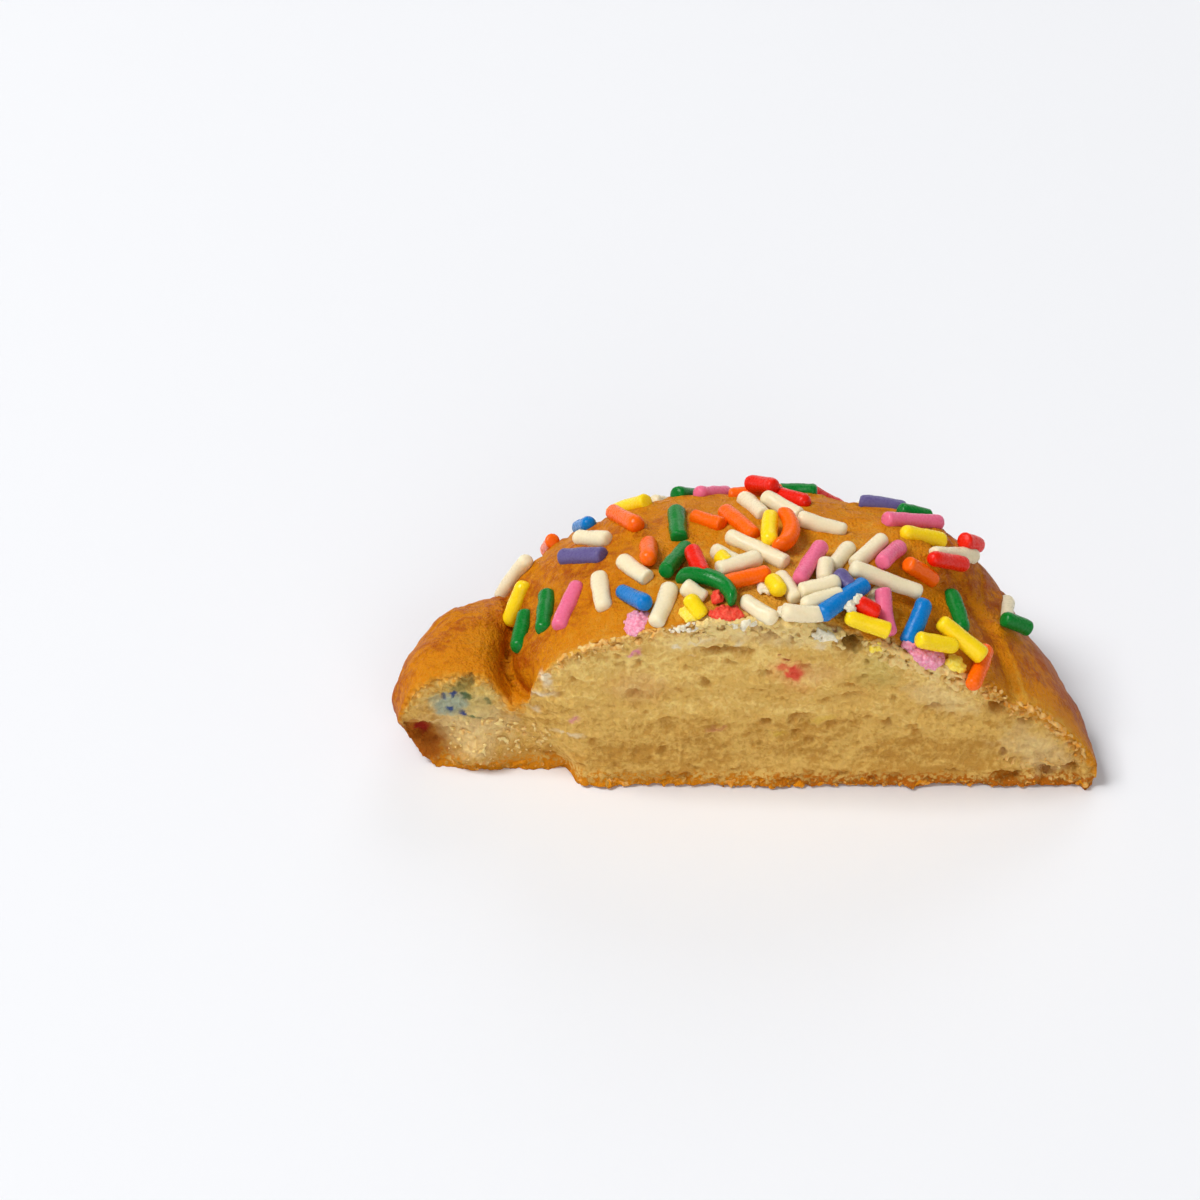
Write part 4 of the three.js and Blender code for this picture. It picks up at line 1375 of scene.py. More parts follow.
@dataclass
class CookieBody:
    """The crust and the crumb as one closed mesh.

    A pair named a fade, a rise or a facing is where a smooth step starts and where it ends.
    """

    crust: CrustForm
    cut: CutForm
    dome_mesh: tuple[int, int] = (220, 130)
    bun_mesh: tuple[int, int] = (120, 80)
    voxel: float = 0.36
    cut_facing: float = 0.7
    cut_depth: float = 0.1
    refined_behind: float = 2.2
    refined_above: float = 1.0
    fade_depth: float = 11.0
    skin_fade: Pair = (0.1, 0.9)
    base_facing: Pair = (0.8, 0.95)
    base_height: float = 0.2
    base_plane: float = 0.05
    fine_lumps: tuple[Lumps, Lumps] = (Lumps(0.2, 2.4, 51), Lumps(0.09, 0.9, 53))
    foot_lumps: Lumps = Lumps(0.4, 1.1, 55)
    foot_reach: float = 1.3
    crack_size: float = 4.2
    crack_seed: int = 58
    crack_warp: Lumps = Lumps(0.25, 1.7, 57)
    crack_patches: Lumps = Lumps(1.0, 8.0, 59)
    crack_patch_range: Pair = (0.0, 0.4)
    crack_width: float = 0.09
    crack_depth: float = 0.22
    fold_depth: float = 1.1
    fold_width: float = 1.6
    fold_rise: Pair = (3.0, 8.0)
    fold_fade: Pair = (14.0, 22.0)
    fold_left_of: float = -15.0
    press_height: float = 0.28
    press_radius: float = 1.15
    press_width: float = 0.5
    press_reach: float = 2.0
    chip_reach: float = 1.1
    chip_bite: float = 0.75
    chip_shares: Pair = (0.35, 0.65)
    chip_stretch: tuple[Pair, Pair] = ((-9.0, -4.0), (20.0, 26.0))
    chip_edge: Pair = (-0.12, 0.18)
    chip_lumps: tuple[Lumps, Lumps] = (Lumps(1.1, 1.9, 74), Lumps(0.6, 0.6, 76))
    chip_grain: Lumps = Lumps(0.55, 0.6, 89)
    chip_depth: float = 0.1
    chip_rise: Pair = (2.0, 5.0)
    crumb_fade: Pair = (0.12, 0.4)
    deepest: float = 30.0
    tear_shade: float = 0.8
    pit_shade: float = 0.35
    dye_drift_x: tuple[Lumps, Lumps] = (Lumps(0.5, 1.5, 67), Lumps(0.26, 0.4, 68))
    dye_drift_z: tuple[Lumps, Lumps] = (Lumps(0.5, 1.5, 69), Lumps(0.26, 0.4, 70))
    dye_ragged: Lumps = Lumps(0.3, 0.7, 71)
    dye_fade: Pair = (0.3, 1.2)
    dye_solid: float = 0.7
    dye_cores: Pair = (0.3, 0.5)
    dye_reach: float = 1.65

    def lump(self, name: str, points_at: Callable[[float, Array], Array],
             mesh: tuple[int, int]) -> Piece:
        """Models one lump of dough from a ball, and trims it at the cut and at the base.

        Args:
            name: The lump's name.
            points_at: The lump's form, as points along a heading.
            mesh: How many segments and rings the ball has.

        Returns:
            The closed lump.
        """
        ball = primitive(name, bpy.ops.mesh.primitive_uv_sphere_add, segments=mesh[0], ring_count=mesh[1],
                         radius=1.0)
        points = read_points(ball)
        headings = np.round(np.degrees(np.arctan2(points[:, 1], points[:, 0])), 3)
        share = 2.0 * np.arccos(np.clip(points[:, 2], -1.0, 1.0)) / math.pi
        formed = points.copy()
        for heading in np.unique(headings):
            column = headings == heading
            formed[column] = points_at(float(heading), share[column])
        write_points(ball, formed)
        bpy.ops.object.mode_set(mode="EDIT")
        for normal in ((0.0, 1.0, 0.0), (0.0, 0.0, 1.0)):
            bpy.ops.mesh.select_all(action="SELECT")
            bpy.ops.mesh.bisect(plane_co=(0, 0, 0), plane_no=normal, use_fill=True, clear_inner=True)
        bpy.ops.object.mode_set(mode="OBJECT")
        return ball

    def build(self, seats: Sequence[SeatedRod]) -> Piece:
        """Joins the dome and the bun, roughens the cut and the crust, and marks what was baked or dyed, with
        painted shade in the crumb's tears and pits and a painted highlight on the crust's crease.

        Args:
            seats: The sprinkles, which press into the crust.

        Returns:
            The body, in metres in the part's frame.
        """
        dome = self.lump("cookie_body", self.crust.dome_points, self.dome_mesh)
        bun = self.lump("bun", self.crust.bun_points, self.bun_mesh)
        select_only(dome, bun)
        bpy.ops.object.join()
        one_skin(dome, self.voxel)
        self.refine_cut(dome)
        self.shape(dome, seats)
        self.flatten_base(dome)
        return dome

    def refine_cut(self, body: Piece) -> None:
        """Halves the facets of the cut and of the crust beside it, where the crumb shows."""
        centres, normals = face_data(body)
        cut = (centres[:, 1] < self.cut_depth) & (normals[:, 1] < -self.cut_facing)
        beside = (centres[:, 1] < self.refined_behind) & (centres[:, 2] > self.refined_above)
        select_faces(body, cut | beside)
        bpy.ops.object.mode_set(mode="EDIT")
        bpy.ops.mesh.subdivide(number_cuts=1)
        bpy.ops.object.mode_set(mode="OBJECT")

    def shape(self, body: Piece, seats: Sequence[SeatedRod]) -> None:
        """Moves every vertex to the finished surface and stores its marks.

        Args:
            body: The joined body, whose cut is still a plane.
            seats: The sprinkles, which press into the crust.
        """
        points = read_points(body)
        normals = read_normals(body)
        x, y, z = points.T
        skin = smooth(y, *self.skin_fade)
        below = crust_edge(self.crust, x) - z
        broad = self.cut.broad(x, z)
        tears = self.cut.tear_depth(x, z)
        grains = self.cut.grains(x, z, below) + self.cut.drops(x, z)
        base = smooth(-normals[:, 2], *self.base_facing) * (z < self.base_height)
        on_crust = skin * (1.0 - base)
        relief, cracks = self.crust_relief(points)
        press = self.pressed_dough(points, seats)
        chipped = self.chipped_edge(x, y)
        nearest, _ = self.chip_grain.pebbles(points)
        chip = self.chip_depth + self.chip_grain.amount * nearest
        out = (relief - self.crack_depth * cracks + press - self.fold_depth * self.fold(x, y, z)) * on_crust
        out = out - chipped * (1.0 - base) * smooth(z, *self.chip_rise) * chip
        # Painted shade: pits, tears and set-back grains darken the crumb's colour through the hollow mark.
        pits = self.pit_shade * np.maximum(0.0, self.cut.pit_depth(x, z))
        moved = points + normals * out[:, None]
        moved[:, 1] += broad * (1.0 - smooth(y, 0.0, self.fade_depth)) + (tears + grains) * (1.0 - skin)
        moved[:, 2] = np.where(z < self.base_plane, 0.0, np.maximum(moved[:, 2], 0.0))
        # Painted shade: how much each place of the crumb is darkened as if in shadow.
        sunk = tears / self.tear_shade + np.maximum(0.0, grains) * self.tear_shade + pits
        marks = {
            "crumb": np.maximum(1.0 - smooth(y, *self.crumb_fade), chipped),
            "bake_and_sheen": BrowningAndSheen(self.crust).at(points, normals, relief, cracks),
            "below_crust": np.clip(below, 0.0, self.deepest),
            "hollow_shade": np.clip(sunk, 0.0, 1.0),
        }
        for name, values in marks.items():
            write_attribute(body, name, values)
        write_colours(body, "dye_and_shade", self.dye_and_shade(x, z, 1.0 - smooth(y, *self.dye_fade)))
        write_points(body, to_frame(moved))

    def fold(self, x: Array, y: Array, z: Array) -> Array:
        """How near each place is to the fold between the dome and the bun, from 0 to 1."""
        apart = np.abs(self.crust.height(x, y) - self.crust.bun_top(x, y))
        near = np.exp(-((apart / self.fold_width) ** 2)) * smooth(z, *self.fold_rise)
        return near * (1.0 - smooth(y, *self.fold_fade)) * (x < self.fold_left_of)

    def chipped_edge(self, x: Array, y: Array) -> Array:
        """Where the crust broke away from the crumb along the cut, from 0 to 1."""
        (least, more), (left, right) = self.chip_shares, self.chip_stretch
        crumbly = least + more * smooth(x, *left) * (1.0 - smooth(x, *right))
        long_bites, nibbles = self.chip_lumps
        bite = self.chip_bite + long_bites.rough(xyz(x, 0.0, 0.0)) + nibbles.soft(xyz(x, y, 0.0))
        depth = self.chip_reach * crumbly * np.maximum(0.0, bite)
        return 1.0 - smooth(y - depth, *self.chip_edge)

    def crust_relief(self, points: Array) -> tuple[Array, Array]:
        """Fine unevenness and hairline cracks of the crust.

        Args:
            points: Places on the crust.

        Returns:
            The relief outwards, and how cracked each place is from 0 to 1.
        """
        coarse, fine = self.fine_lumps
        relief = coarse.rough(points) + fine.rough(points)
        foot = np.exp(-points[:, 2] / self.foot_reach)
        lumps, _ = self.foot_lumps.pebbles(points)
        relief = relief + self.foot_lumps.amount * foot * (0.5 - lumps)
        warped = points / self.crack_size + self.crack_warp.soft(points)[:, None]
        nearest, second = cells(warped, self.crack_seed)
        where = smooth(self.crack_patches.rough(points), *self.crack_patch_range)
        return relief, (1.0 - smooth(second - nearest, 0.0, self.crack_width)) * where

    def pressed_dough(self, points: Array, seats: Sequence[SeatedRod]) -> Array:
        """The small lip of dough that rises round each sprinkle.

        Args:
            points: Places on the crust.
            seats: The sprinkles.

        Returns:
            How far the dough rises at each place.
        """
        nearest = np.full(len(points), FAR_OFF)
        share = np.linspace(-0.8, 0.8, 7)
        for seat in seats:
            reach = 0.5 * seat.rod.length + self.press_reach
            close = np.linalg.norm(points - seat.middle, axis=1) < reach
            line = seat.mid_line(share)
            gaps = np.linalg.norm(points[close][:, None, :] - line[None, :, :], axis=-1).min(axis=1)
            nearest[close] = np.minimum(nearest[close], gaps)
        return self.press_height * np.exp(-(((nearest - self.press_radius) / self.press_width) ** 2))

    def dye_and_shade(self, x: Array, z: Array, on_cut: Array) -> Array:
        """Dye and sugar that show in the cut, and painted shade laid into its two deepest hollows.

        Args:
            x: Places along the cut.
            z: Heights of the places.
            on_cut: 1 on the cut, 0 on the crust.

        Returns:
            A colour for each place, whose last value is its strength.
        """
        colour = np.ones((len(x), 4)) * 0.5
        colour[:, 3] = 0.0
        places = xyz(x, 0.0, z)
        x = x + self.dye_drift_x[0].rough(places) + self.dye_drift_x[1].soft(places)
        z = z + self.dye_drift_z[0].rough(places) + self.dye_drift_z[1].soft(places)
        ragged = 1.0 + self.dye_ragged.soft(xyz(x, 0.0, z))
        for stain in STAINS:
            along, across = tilted(x - stain.x, z - stain.z, stain.tilt)
            off = np.hypot(along / stain.spread_x, across / stain.spread_z) * ragged
            core = self.dye_cores[stain.strength > self.dye_solid]
            share = stain.strength * (1.0 - smooth(off, core, self.dye_reach - core))
            total = colour[:, 3] + share - colour[:, 3] * share
            weight = np.where(total > 1e-6, share / np.maximum(total, 1e-6), 0.0)[:, None]
            colour[:, :3] = colour[:, :3] * (1.0 - weight) + linear(stain.colour) * weight
            colour[:, 3] = total
        colour[:, 3] *= on_cut
        return colour

    def flatten_base(self, body: Piece) -> None:
        """Gives the base large facets, because it is a plane."""
        centres, normals = face_data(body)
        select_faces(body, (centres[:, 2] < 1e-6) & (normals[:, 2] < -0.99))
        bpy.ops.object.mode_set(mode="EDIT")
        bpy.ops.mesh.dissolve_limited(angle_limit=math.radians(0.5))
        bpy.ops.mesh.quads_convert_to_tris(ngon_method="BEAUTY")
        bpy.ops.object.mode_set(mode="OBJECT")


def face_data(piece: Piece) -> tuple[Array, Array]:
    """The middles and the outward directions of a mesh's faces."""
    centres = np.empty(len(piece.data.polygons) * 3)
    normals = centres.copy()
    piece.data.polygons.foreach_get("center", centres)
    piece.data.polygon_normals.foreach_get("vector", normals)
    return centres.reshape(-1, 3), normals.reshape(-1, 3)


# ---- Finishes ----------------------------------------------------------------------------------------

NOISE_RANGE = (0.3, 0.7)


class NodeSheet:
    """Adds and links the nodes of one tree."""

    def __init__(self, tree: NodeTree) -> None:
        """Keeps the tree that the nodes go in."""
        self.tree = tree

    def node(self, kind: str, **settings: object) -> Node:
        """Adds a node and sets its properties."""
        made = self.tree.nodes.new(kind)
        for name, value in settings.items():
            setattr(made, name, value)
        return made

    def feed(self, socket: Socket, value: object) -> None:
        """Links a socket to another node's socket, or sets its plain value."""
        if isinstance(value, Socket):
            self.tree.links.new(value, socket)
        elif isinstance(value, (tuple, list)):
            socket.default_value = (*value, 1.0)[:len(socket.default_value)]
        else:
            socket.default_value = value

    def set_inputs(self, node: Node, values: dict[str | int, object]) -> Node:
        """Feeds a node's inputs by their names or numbers, and returns the node."""
        for name, value in values.items():
            self.feed(node.inputs[name], value)
        return node

    def math(self, operation: str, first: object, second: object = 0.0,
             clamp: bool = False) -> Socket:
        """Works out one step of arithmetic.

        Args:
            operation: The Math node's operation.
            first: The first socket or number.
            second: The second socket or number.
            clamp: Whether the result is kept from 0 to 1.

        Returns:
            The result's socket.
        """
        made = self.node("ShaderNodeMath", operation=operation, use_clamp=clamp)
        return self.set_inputs(made, {0: first, 1: second}).outputs[0]

    def sum(self, *terms: object, clamp: bool = False) -> Socket:
        """Adds numbers up, the last step kept from 0 to 1 if so wished."""
        total = terms[0]
        for index, term in enumerate(terms[1:], 2):
            total = self.math("ADD", total, term, clamp and index == len(terms))
        return total

    def times(self, *factors: object) -> Socket:
        """Multiplies numbers."""
        total = factors[0]
        for factor in factors[1:]:
            total = self.math("MULTIPLY", total, factor)
        return total

    def blend(self, amount: object, first: object, second: object) -> Socket:
        """Mixes two colours, from the first at amount 0 to the second at amount 1."""
        made = self.node("ShaderNodeMix", data_type="RGBA", clamp_factor=True)
        return self.set_inputs(made, {0: amount, 6: first, 7: second}).outputs[2]

    def mix(self, amount: object, first: object, second: object) -> Socket:
        """Mixes two numbers, from the first at amount 0 to the second at amount 1."""
        made = self.node("ShaderNodeMix", data_type="FLOAT")
        return self.set_inputs(made, {0: amount, 2: first, 3: second}).outputs[0]

    def bump(self, strength: float, depth: float, height: object) -> Socket:
        """The normal of a fine relief, so many metres deep where its height goes from 0 to 1."""
        made = self.node("ShaderNodeBump")
        values = {"Strength": strength, "Distance": depth, "Height": height}
        return self.set_inputs(made, values).outputs[0]

    def place(self) -> Socket:
        """The place on the piece, in metres."""
        return self.node("ShaderNodeTexCoord").outputs["Object"]

    def mark(self, name: str) -> Socket:
        """Reads a value from 0 to 1 that is stored on the mesh."""
        return self.attribute(name).outputs["Fac"]

    def sway(self, value: object, to_low: float, to_high: float) -> Socket:
        """Maps the range in which noise mostly lies to another range."""
        return self.span(value, *NOISE_RANGE, to_low, to_high)

    def span(self, value: object, low: float, high: float, to_low: float = 0.0,
             to_high: float = 1.0) -> Socket:
        """Maps a value smoothly from one range to another.

        Args:
            value: The socket to map.
            low: Where the range starts.
            high: Where the range ends.
            to_low: The result at the start.
            to_high: The result at the end.

        Returns:
            The result's socket.
        """
        made = self.node("ShaderNodeMapRange", interpolation_type="SMOOTHSTEP")
        for socket, amount in zip(made.inputs, (value, low, high, to_low, to_high)):
            self.feed(socket, amount)
        return made.outputs[0]

    def attribute(self, name: str) -> Node:
        """Reads what is stored on the mesh under a name."""
        return self.node("ShaderNodeAttribute", attribute_type="GEOMETRY", attribute_name=name)

    def grain(self, coordinates: object, per_mm: float, detail: float = 3.0,
              stretch: Triple = (1.0, 1.0, 1.0)) -> Socket:
        """Noise with so many lumps to the millimetre.

        Args:
            coordinates: The socket of coordinates in metres.
            per_mm: How many lumps fit in a millimetre.
            detail: How many finer octaves it has.
            stretch: How much finer the noise is along x, y and z.

        Returns:
            The noise's socket, from 0 to 1.
        """
        scaled = self.node("ShaderNodeVectorMath", operation="MULTIPLY")
        self.feed(scaled.inputs[0], coordinates)
        scaled.inputs[1].default_value = [per_mm / MM * share for share in stretch]
        made = self.node("ShaderNodeTexNoise", noise_dimensions="3D")
        values = {"Vector": scaled.outputs[0], "Scale": 1.0, "Detail": detail}
        return self.set_inputs(made, values).outputs["Fac"]


def group_tree(name: str, inputs: dict[str, str], outputs: dict[str, str]) -> tuple[NodeSheet, dict, dict]:
    """Starts a shader node group.

    Args:
        name: The group's name.
        inputs: The kind of each input socket by its name: Vector, Color or Float.
        outputs: The kind of each output socket by its name.

    Returns:
        The sheet, the sockets that bring the inputs in, and those that take the outputs.
    """
    tree = bpy.data.node_groups.new(name, "ShaderNodeTree")
    for way, sockets in (("INPUT", inputs), ("OUTPUT", outputs)):
        for label, kind in sockets.items():
            tree.interface.new_socket(label, in_out=way, socket_type=f"NodeSocket{kind}")
    sheet = NodeSheet(tree)
    entry, leave = sheet.node("NodeGroupInput"), sheet.node("NodeGroupOutput")
    return (sheet, {label: entry.outputs[label] for label in inputs},
            {label: leave.inputs[label] for label in outputs})


def use_group(sheet: NodeSheet, tree: NodeTree, **values: object) -> Node:
    """Places a group in a sheet and feeds its inputs."""
    return sheet.set_inputs(sheet.node("ShaderNodeGroup", node_tree=tree), values)


def rgb(colour: Sequence[float]) -> Triple:
    """A colour of 0 to 255 steps as the linear light that sockets take."""
    return tuple(float(value) for value in linear(colour))


@dataclass(frozen=True)
class CrustTones:
    """Colours of the crust, from underdone to dark."""

    pale: Tone = (214, 154, 52)
    golden: Tone = (209, 127, 2)
    amber: Tone = (170, 80, 0)
    brown: Tone = (130, 54, 0)
    steps: tuple[float, float, float, float] = (0.02, 0.42, 0.78, 1.15)
    mottle: float = 0.07
    speckle: float = 0.08
    roughness: Pair = (0.62, 0.46)

    def group(self) -> NodeTree:
        """The baked crust: its colour, roughness and height by how far it baked, the painted highlight on the
        crease's lip included.
        """
        sheet, given, made = group_tree("baked_crust", {"Place": "Vector", "Bake": "Float"},
                                        {"Color": "Color", "Roughness": "Float", "Height": "Float"})
        mottle = sheet.sway(sheet.grain(given["Place"], 0.55, 2.0), -self.mottle, self.mottle)
        fine = sheet.grain(given["Place"], 1.5, 3.0)
        bake_and_sheen = sheet.sum(given["Bake"], mottle, sheet.span(fine, 0.34, 0.66, -self.speckle, self.speckle))
        golden_from, amber_from, brown_from, brown_to = self.steps
        warm = sheet.blend(sheet.span(bake_and_sheen, golden_from, amber_from), rgb(self.pale), rgb(self.golden))
        deep = sheet.blend(sheet.span(bake_and_sheen, amber_from, brown_from), warm, rgb(self.amber))
        sheet.feed(made["Color"], sheet.blend(sheet.span(bake_and_sheen, brown_from, brown_to), deep, rgb(self.brown)))
        sheet.feed(made["Roughness"], sheet.span(bake_and_sheen, 0.1, 0.8, *self.roughness))
        pores = sheet.grain(given["Place"], 3.4, 2.0)
        sheet.feed(made["Height"], sheet.sum(sheet.times(fine, 0.6), sheet.times(pores, 0.7)))
        return sheet.tree


@dataclass(frozen=True)
class CrumbTones:
    """Colours of the dense crumb that the cut lays open."""

    light: Tone = (246, 213, 130)
    middle: Tone = (224, 181, 97)
    deep: Tone = (194, 144, 64)
    toasted: Tone = (184, 102, 14)
    scorched: Tone = (118, 60, 12)
    # Painted shade: the tone that tears, pits and set-back grains are darkened towards.
    hollow_shade: Tone = (164, 98, 14)
    rim: Tone = (216, 136, 6)
    hollow_shade_share: float = 0.9

    def group(self) -> NodeTree:
        """The crumb: its colour and height, browner towards the base and the crust, with painted shade in its
        tears and pits.
        """
        sheet, given, made = group_tree(
            "cookie_crumb", {"Place": "Vector", "Below": "Float", "Hollow": "Float"},
            {"Color": "Color", "Height": "Float"})
        place = sheet.node("ShaderNodeSeparateXYZ")
        sheet.feed(place.inputs[0], given["Place"])
        along, height = (sheet.times(place.outputs[axis], 1.0 / MM) for axis in (0, 2))
        smears = sheet.grain(given["Place"], 0.22, 3.0, (0.7, 1.0, 1.4))
        soft = sheet.grain(given["Place"], 0.75, 2.0, (0.8, 1.0, 1.2))
        speckle = sheet.grain(given["Place"], 2.2, 2.0)
        fine = sheet.grain(given["Place"], 4.0, 1.0)

        paler_up = sheet.span(height, 0.0, 21.0, -0.28, 0.28)
        tone = sheet.sum(sheet.sway(smears, 0.26, 0.62), sheet.sway(soft, -0.14, 0.14),
                         sheet.sway(speckle, -0.12, 0.14), paler_up, clamp=True)
        plain = sheet.blend(sheet.span(tone, 0.0, 0.5), rgb(self.deep), rgb(self.middle))
        plain = sheet.blend(sheet.span(tone, 0.5, 1.0), plain, rgb(self.light))

        rim = sheet.sum(sheet.span(along, 18.0, 28.0, 0.4, 0.85), sheet.span(along, -26.0, -19.0, 0.4, 0.0))
        below = sheet.sum(given["Below"], sheet.sway(speckle, -0.6, 0.6))
        near_crust = sheet.times(sheet.span(below, 0.2, 2.3, 1.0, 0.0), rim)
        near_base = sheet.span(sheet.sum(height, sheet.sway(speckle, -0.9, 0.9)), 0.5, 2.1, 1.0, 0.0)
        toast = sheet.blend(sheet.span(speckle, 0.46, 0.62), rgb(self.toasted), rgb(self.scorched))
        toast = sheet.blend(sheet.span(along, -4.0, 10.0, 0.6, 0.0), toast, rgb(self.rim))
        browned = sheet.blend(near_base, sheet.blend(near_crust, plain, rgb(self.rim)), toast)
        # Painted shade: darkens tears, pits and set-back grains towards the hollow tone.
        sunk = sheet.math("MULTIPLY", given["Hollow"], self.hollow_shade_share, clamp=True)
        sheet.feed(made["Color"], sheet.blend(sunk, browned, rgb(self.hollow_shade)))
        relief = sheet.sum(sheet.times(speckle, 0.55), sheet.times(soft, 0.6), sheet.times(fine, 0.32))
        sheet.feed(made["Height"], relief)
        return sheet.tree


@dataclass(frozen=True)
class CookieFinish:
    """The one skin of the half: baked crust outside and crumb on the cut, with dye in it, painted shade in
    the crumb's tears and pits, and a painted highlight along the crust's crease.
    """

    name: str = "cookie"
    bump_strength: float = 0.9
    bump_depth: float = 0.0005
    gloss: float = 0.11
    crumb_roughness: float = 0.76
    subsurface: float = 0.16
    bleed: float = 0.0014
    bleed_radius: Triple = (1.0, 0.55, 0.25)

    def material(self) -> Material:
        """The body's material."""
        made, sheet, shader = new_material(self.name)
        place, on_crumb = sheet.place(), sheet.mark("crumb")
        crust = use_group(sheet, CrustTones().group(), Place=place, Bake=sheet.mark("bake_and_sheen")).outputs
        crumb = use_group(sheet, CrumbTones().group(), Place=place, Below=sheet.mark("below_crust"),
                          Hollow=sheet.mark("hollow_shade")).outputs
        dye_and_shade = sheet.attribute("dye_and_shade").outputs
        height = sheet.mix(on_crumb, crust["Height"], crumb["Height"])
        sheet.set_inputs(shader, {
            "Base Color": sheet.blend(dye_and_shade["Alpha"], sheet.blend(on_crumb, crust["Color"], crumb["Color"]),
                                      dye_and_shade["Color"]),
            "Roughness": sheet.mix(on_crumb, crust["Roughness"], self.crumb_roughness),
            "Normal": sheet.bump(self.bump_strength, self.bump_depth, height),
            "Specular IOR Level": self.gloss,
        })
        set_glow(shader, self.subsurface, self.bleed, self.bleed_radius)
        return made


@dataclass(frozen=True)
class CrumbGrainFinish:
    """Loose-looking grains of crumb, from pale to toasted."""

    name: str = "crumb_grain"
    light: Tone = (236, 206, 136)
    toasted: Tone = (222, 136, 6)
    roughness: float = 0.75
    gloss: float = 0.15
    bump_strength: float = 0.9
    bump_depth: float = 0.0003
    subsurface: float = 0.2
    bleed: float = 0.001
    bleed_radius: Triple = (1.0, 0.6, 0.3)

    def material(self) -> Material:
        """The grains' material."""
        made, sheet, shader = new_material(self.name)
        place = sheet.place()
        toast = sheet.sum(sheet.mark("toast"), sheet.sway(sheet.grain(place, 1.2, 3.0), -0.3, 0.3))
        sheet.set_inputs(shader, {
            "Base Color": sheet.blend(toast, rgb(self.light), rgb(self.toasted)),
            "Roughness": self.roughness,
            "Normal": sheet.bump(self.bump_strength, self.bump_depth, sheet.grain(place, 2.6, 2.0)),
            "Specular IOR Level": self.gloss,
        })
        set_glow(shader, self.subsurface, self.bleed, self.bleed_radius)
        return made


def new_material(name: str) -> tuple[Material, NodeSheet, Node]:
    """Starts a material.

    Args:
        name: The material's name.

    Returns:
        The material, its sheet and its Principled shader.
    """
    made = bpy.data.materials.new(name)
    made.use_nodes = True
    return made, NodeSheet(made.node_tree), made.node_tree.nodes["Principled BSDF"]


def set_glow(shader: Node, weight: float, scale: float, radius: Triple) -> None:
    """Lets light bleed a little way under the surface."""
    for name, value in (("Weight", weight), ("Scale", scale), ("Radius", radius)):
        shader.inputs[f"Subsurface {name}"].default_value = value


@dataclass(frozen=True)
class SugarFinish:
    """Dyed sugar: satin outside, and paler where it is crushed."""

    colour: Tone
    crushed: Tone
    roughness: float = 0.28
    gloss: float = 0.25
    bump_strength: float = 0.4
    bump_depth: float = 0.0001
    faded: float = 0.06
    crushed_roughness: float = 0.25
    crushed_relief: float = 5.0
    subsurface: float = 0.2
    bleed: float = 0.0012
    bleed_radius: Triple = (1.0, 0.8, 0.6)

    def surface_group(self) -> NodeTree:
        """The sugar's faint mottling and its orange-peel relief, made once for all the colours."""
        if "sugar_surface" in bpy.data.node_groups:
            return bpy.data.node_groups["sugar_surface"]
        sheet, given, made = group_tree(
            "sugar_surface",
            {"Place": "Vector", "Whole": "Color", "Broken": "Color", "Crushed": "Float",
             "Roughness": "Float"},
            {"Color": "Color", "Roughness": "Float", "Height": "Float"})
        pores = sheet.grain(given["Place"], 3.4, 2.0)
        faded = sheet.times(sheet.span(sheet.grain(given["Place"], 0.9, 3.0), 0.5, 0.8), self.faded)
        base = sheet.blend(faded, given["Whole"], given["Broken"])
        dust = sheet.blend(sheet.span(pores, 0.38, 0.62, 0.0, 0.6), given["Broken"], given["Whole"])
        sheet.feed(made["Color"], sheet.blend(given["Crushed"], base, dust))
        rougher = sheet.times(given["Crushed"], self.crushed_roughness)
        uneven = sheet.span(pores, 0.35, 0.7, -0.05, 0.12)
        sheet.feed(made["Roughness"], sheet.sum(given["Roughness"], uneven, rougher))
        relief = sheet.times(sheet.grain(given["Place"], 1.7, 3.0), given["Crushed"], self.crushed_relief)
        sheet.feed(made["Height"], sheet.sum(pores, relief))
        return sheet.tree

    def material(self, name: str) -> Material:
        """The material of one colour of sprinkle."""
        made, sheet, shader = new_material(name)
        sugar = use_group(sheet, self.surface_group(), Place=sheet.place(), Whole=rgb(self.colour),
                          Broken=rgb(self.crushed), Crushed=sheet.mark("crushed"),
                          Roughness=self.roughness).outputs
        sheet.set_inputs(shader, {
            "Base Color": sugar["Color"],
            "Roughness": sugar["Roughness"],
            "Normal": sheet.bump(self.bump_strength, self.bump_depth, sugar["Height"]),
            "Specular IOR Level": self.gloss,
        })
        set_glow(shader, self.subsurface, self.bleed, self.bleed_radius)
        return made


SUGARS = {
    SugarColour.WHITE: SugarFinish((236, 220, 184), (250, 236, 204), subsurface=0.45, bleed=0.0016),
    SugarColour.GREEN: SugarFinish((0, 120, 38), (84, 166, 92)),
    SugarColour.PINK: SugarFinish((230, 108, 142), (242, 170, 190)),
    SugarColour.BLUE: SugarFinish((0, 118, 192), (186, 206, 224)),
    SugarColour.ORANGE: SugarFinish((248, 102, 0), (250, 156, 50)),
    SugarColour.YELLOW: SugarFinish((250, 212, 20), (252, 226, 100)),
    SugarColour.RED: SugarFinish((230, 30, 6), (240, 90, 66)),
    SugarColour.PURPLE: SugarFinish((98, 88, 138), (150, 140, 186)),
}

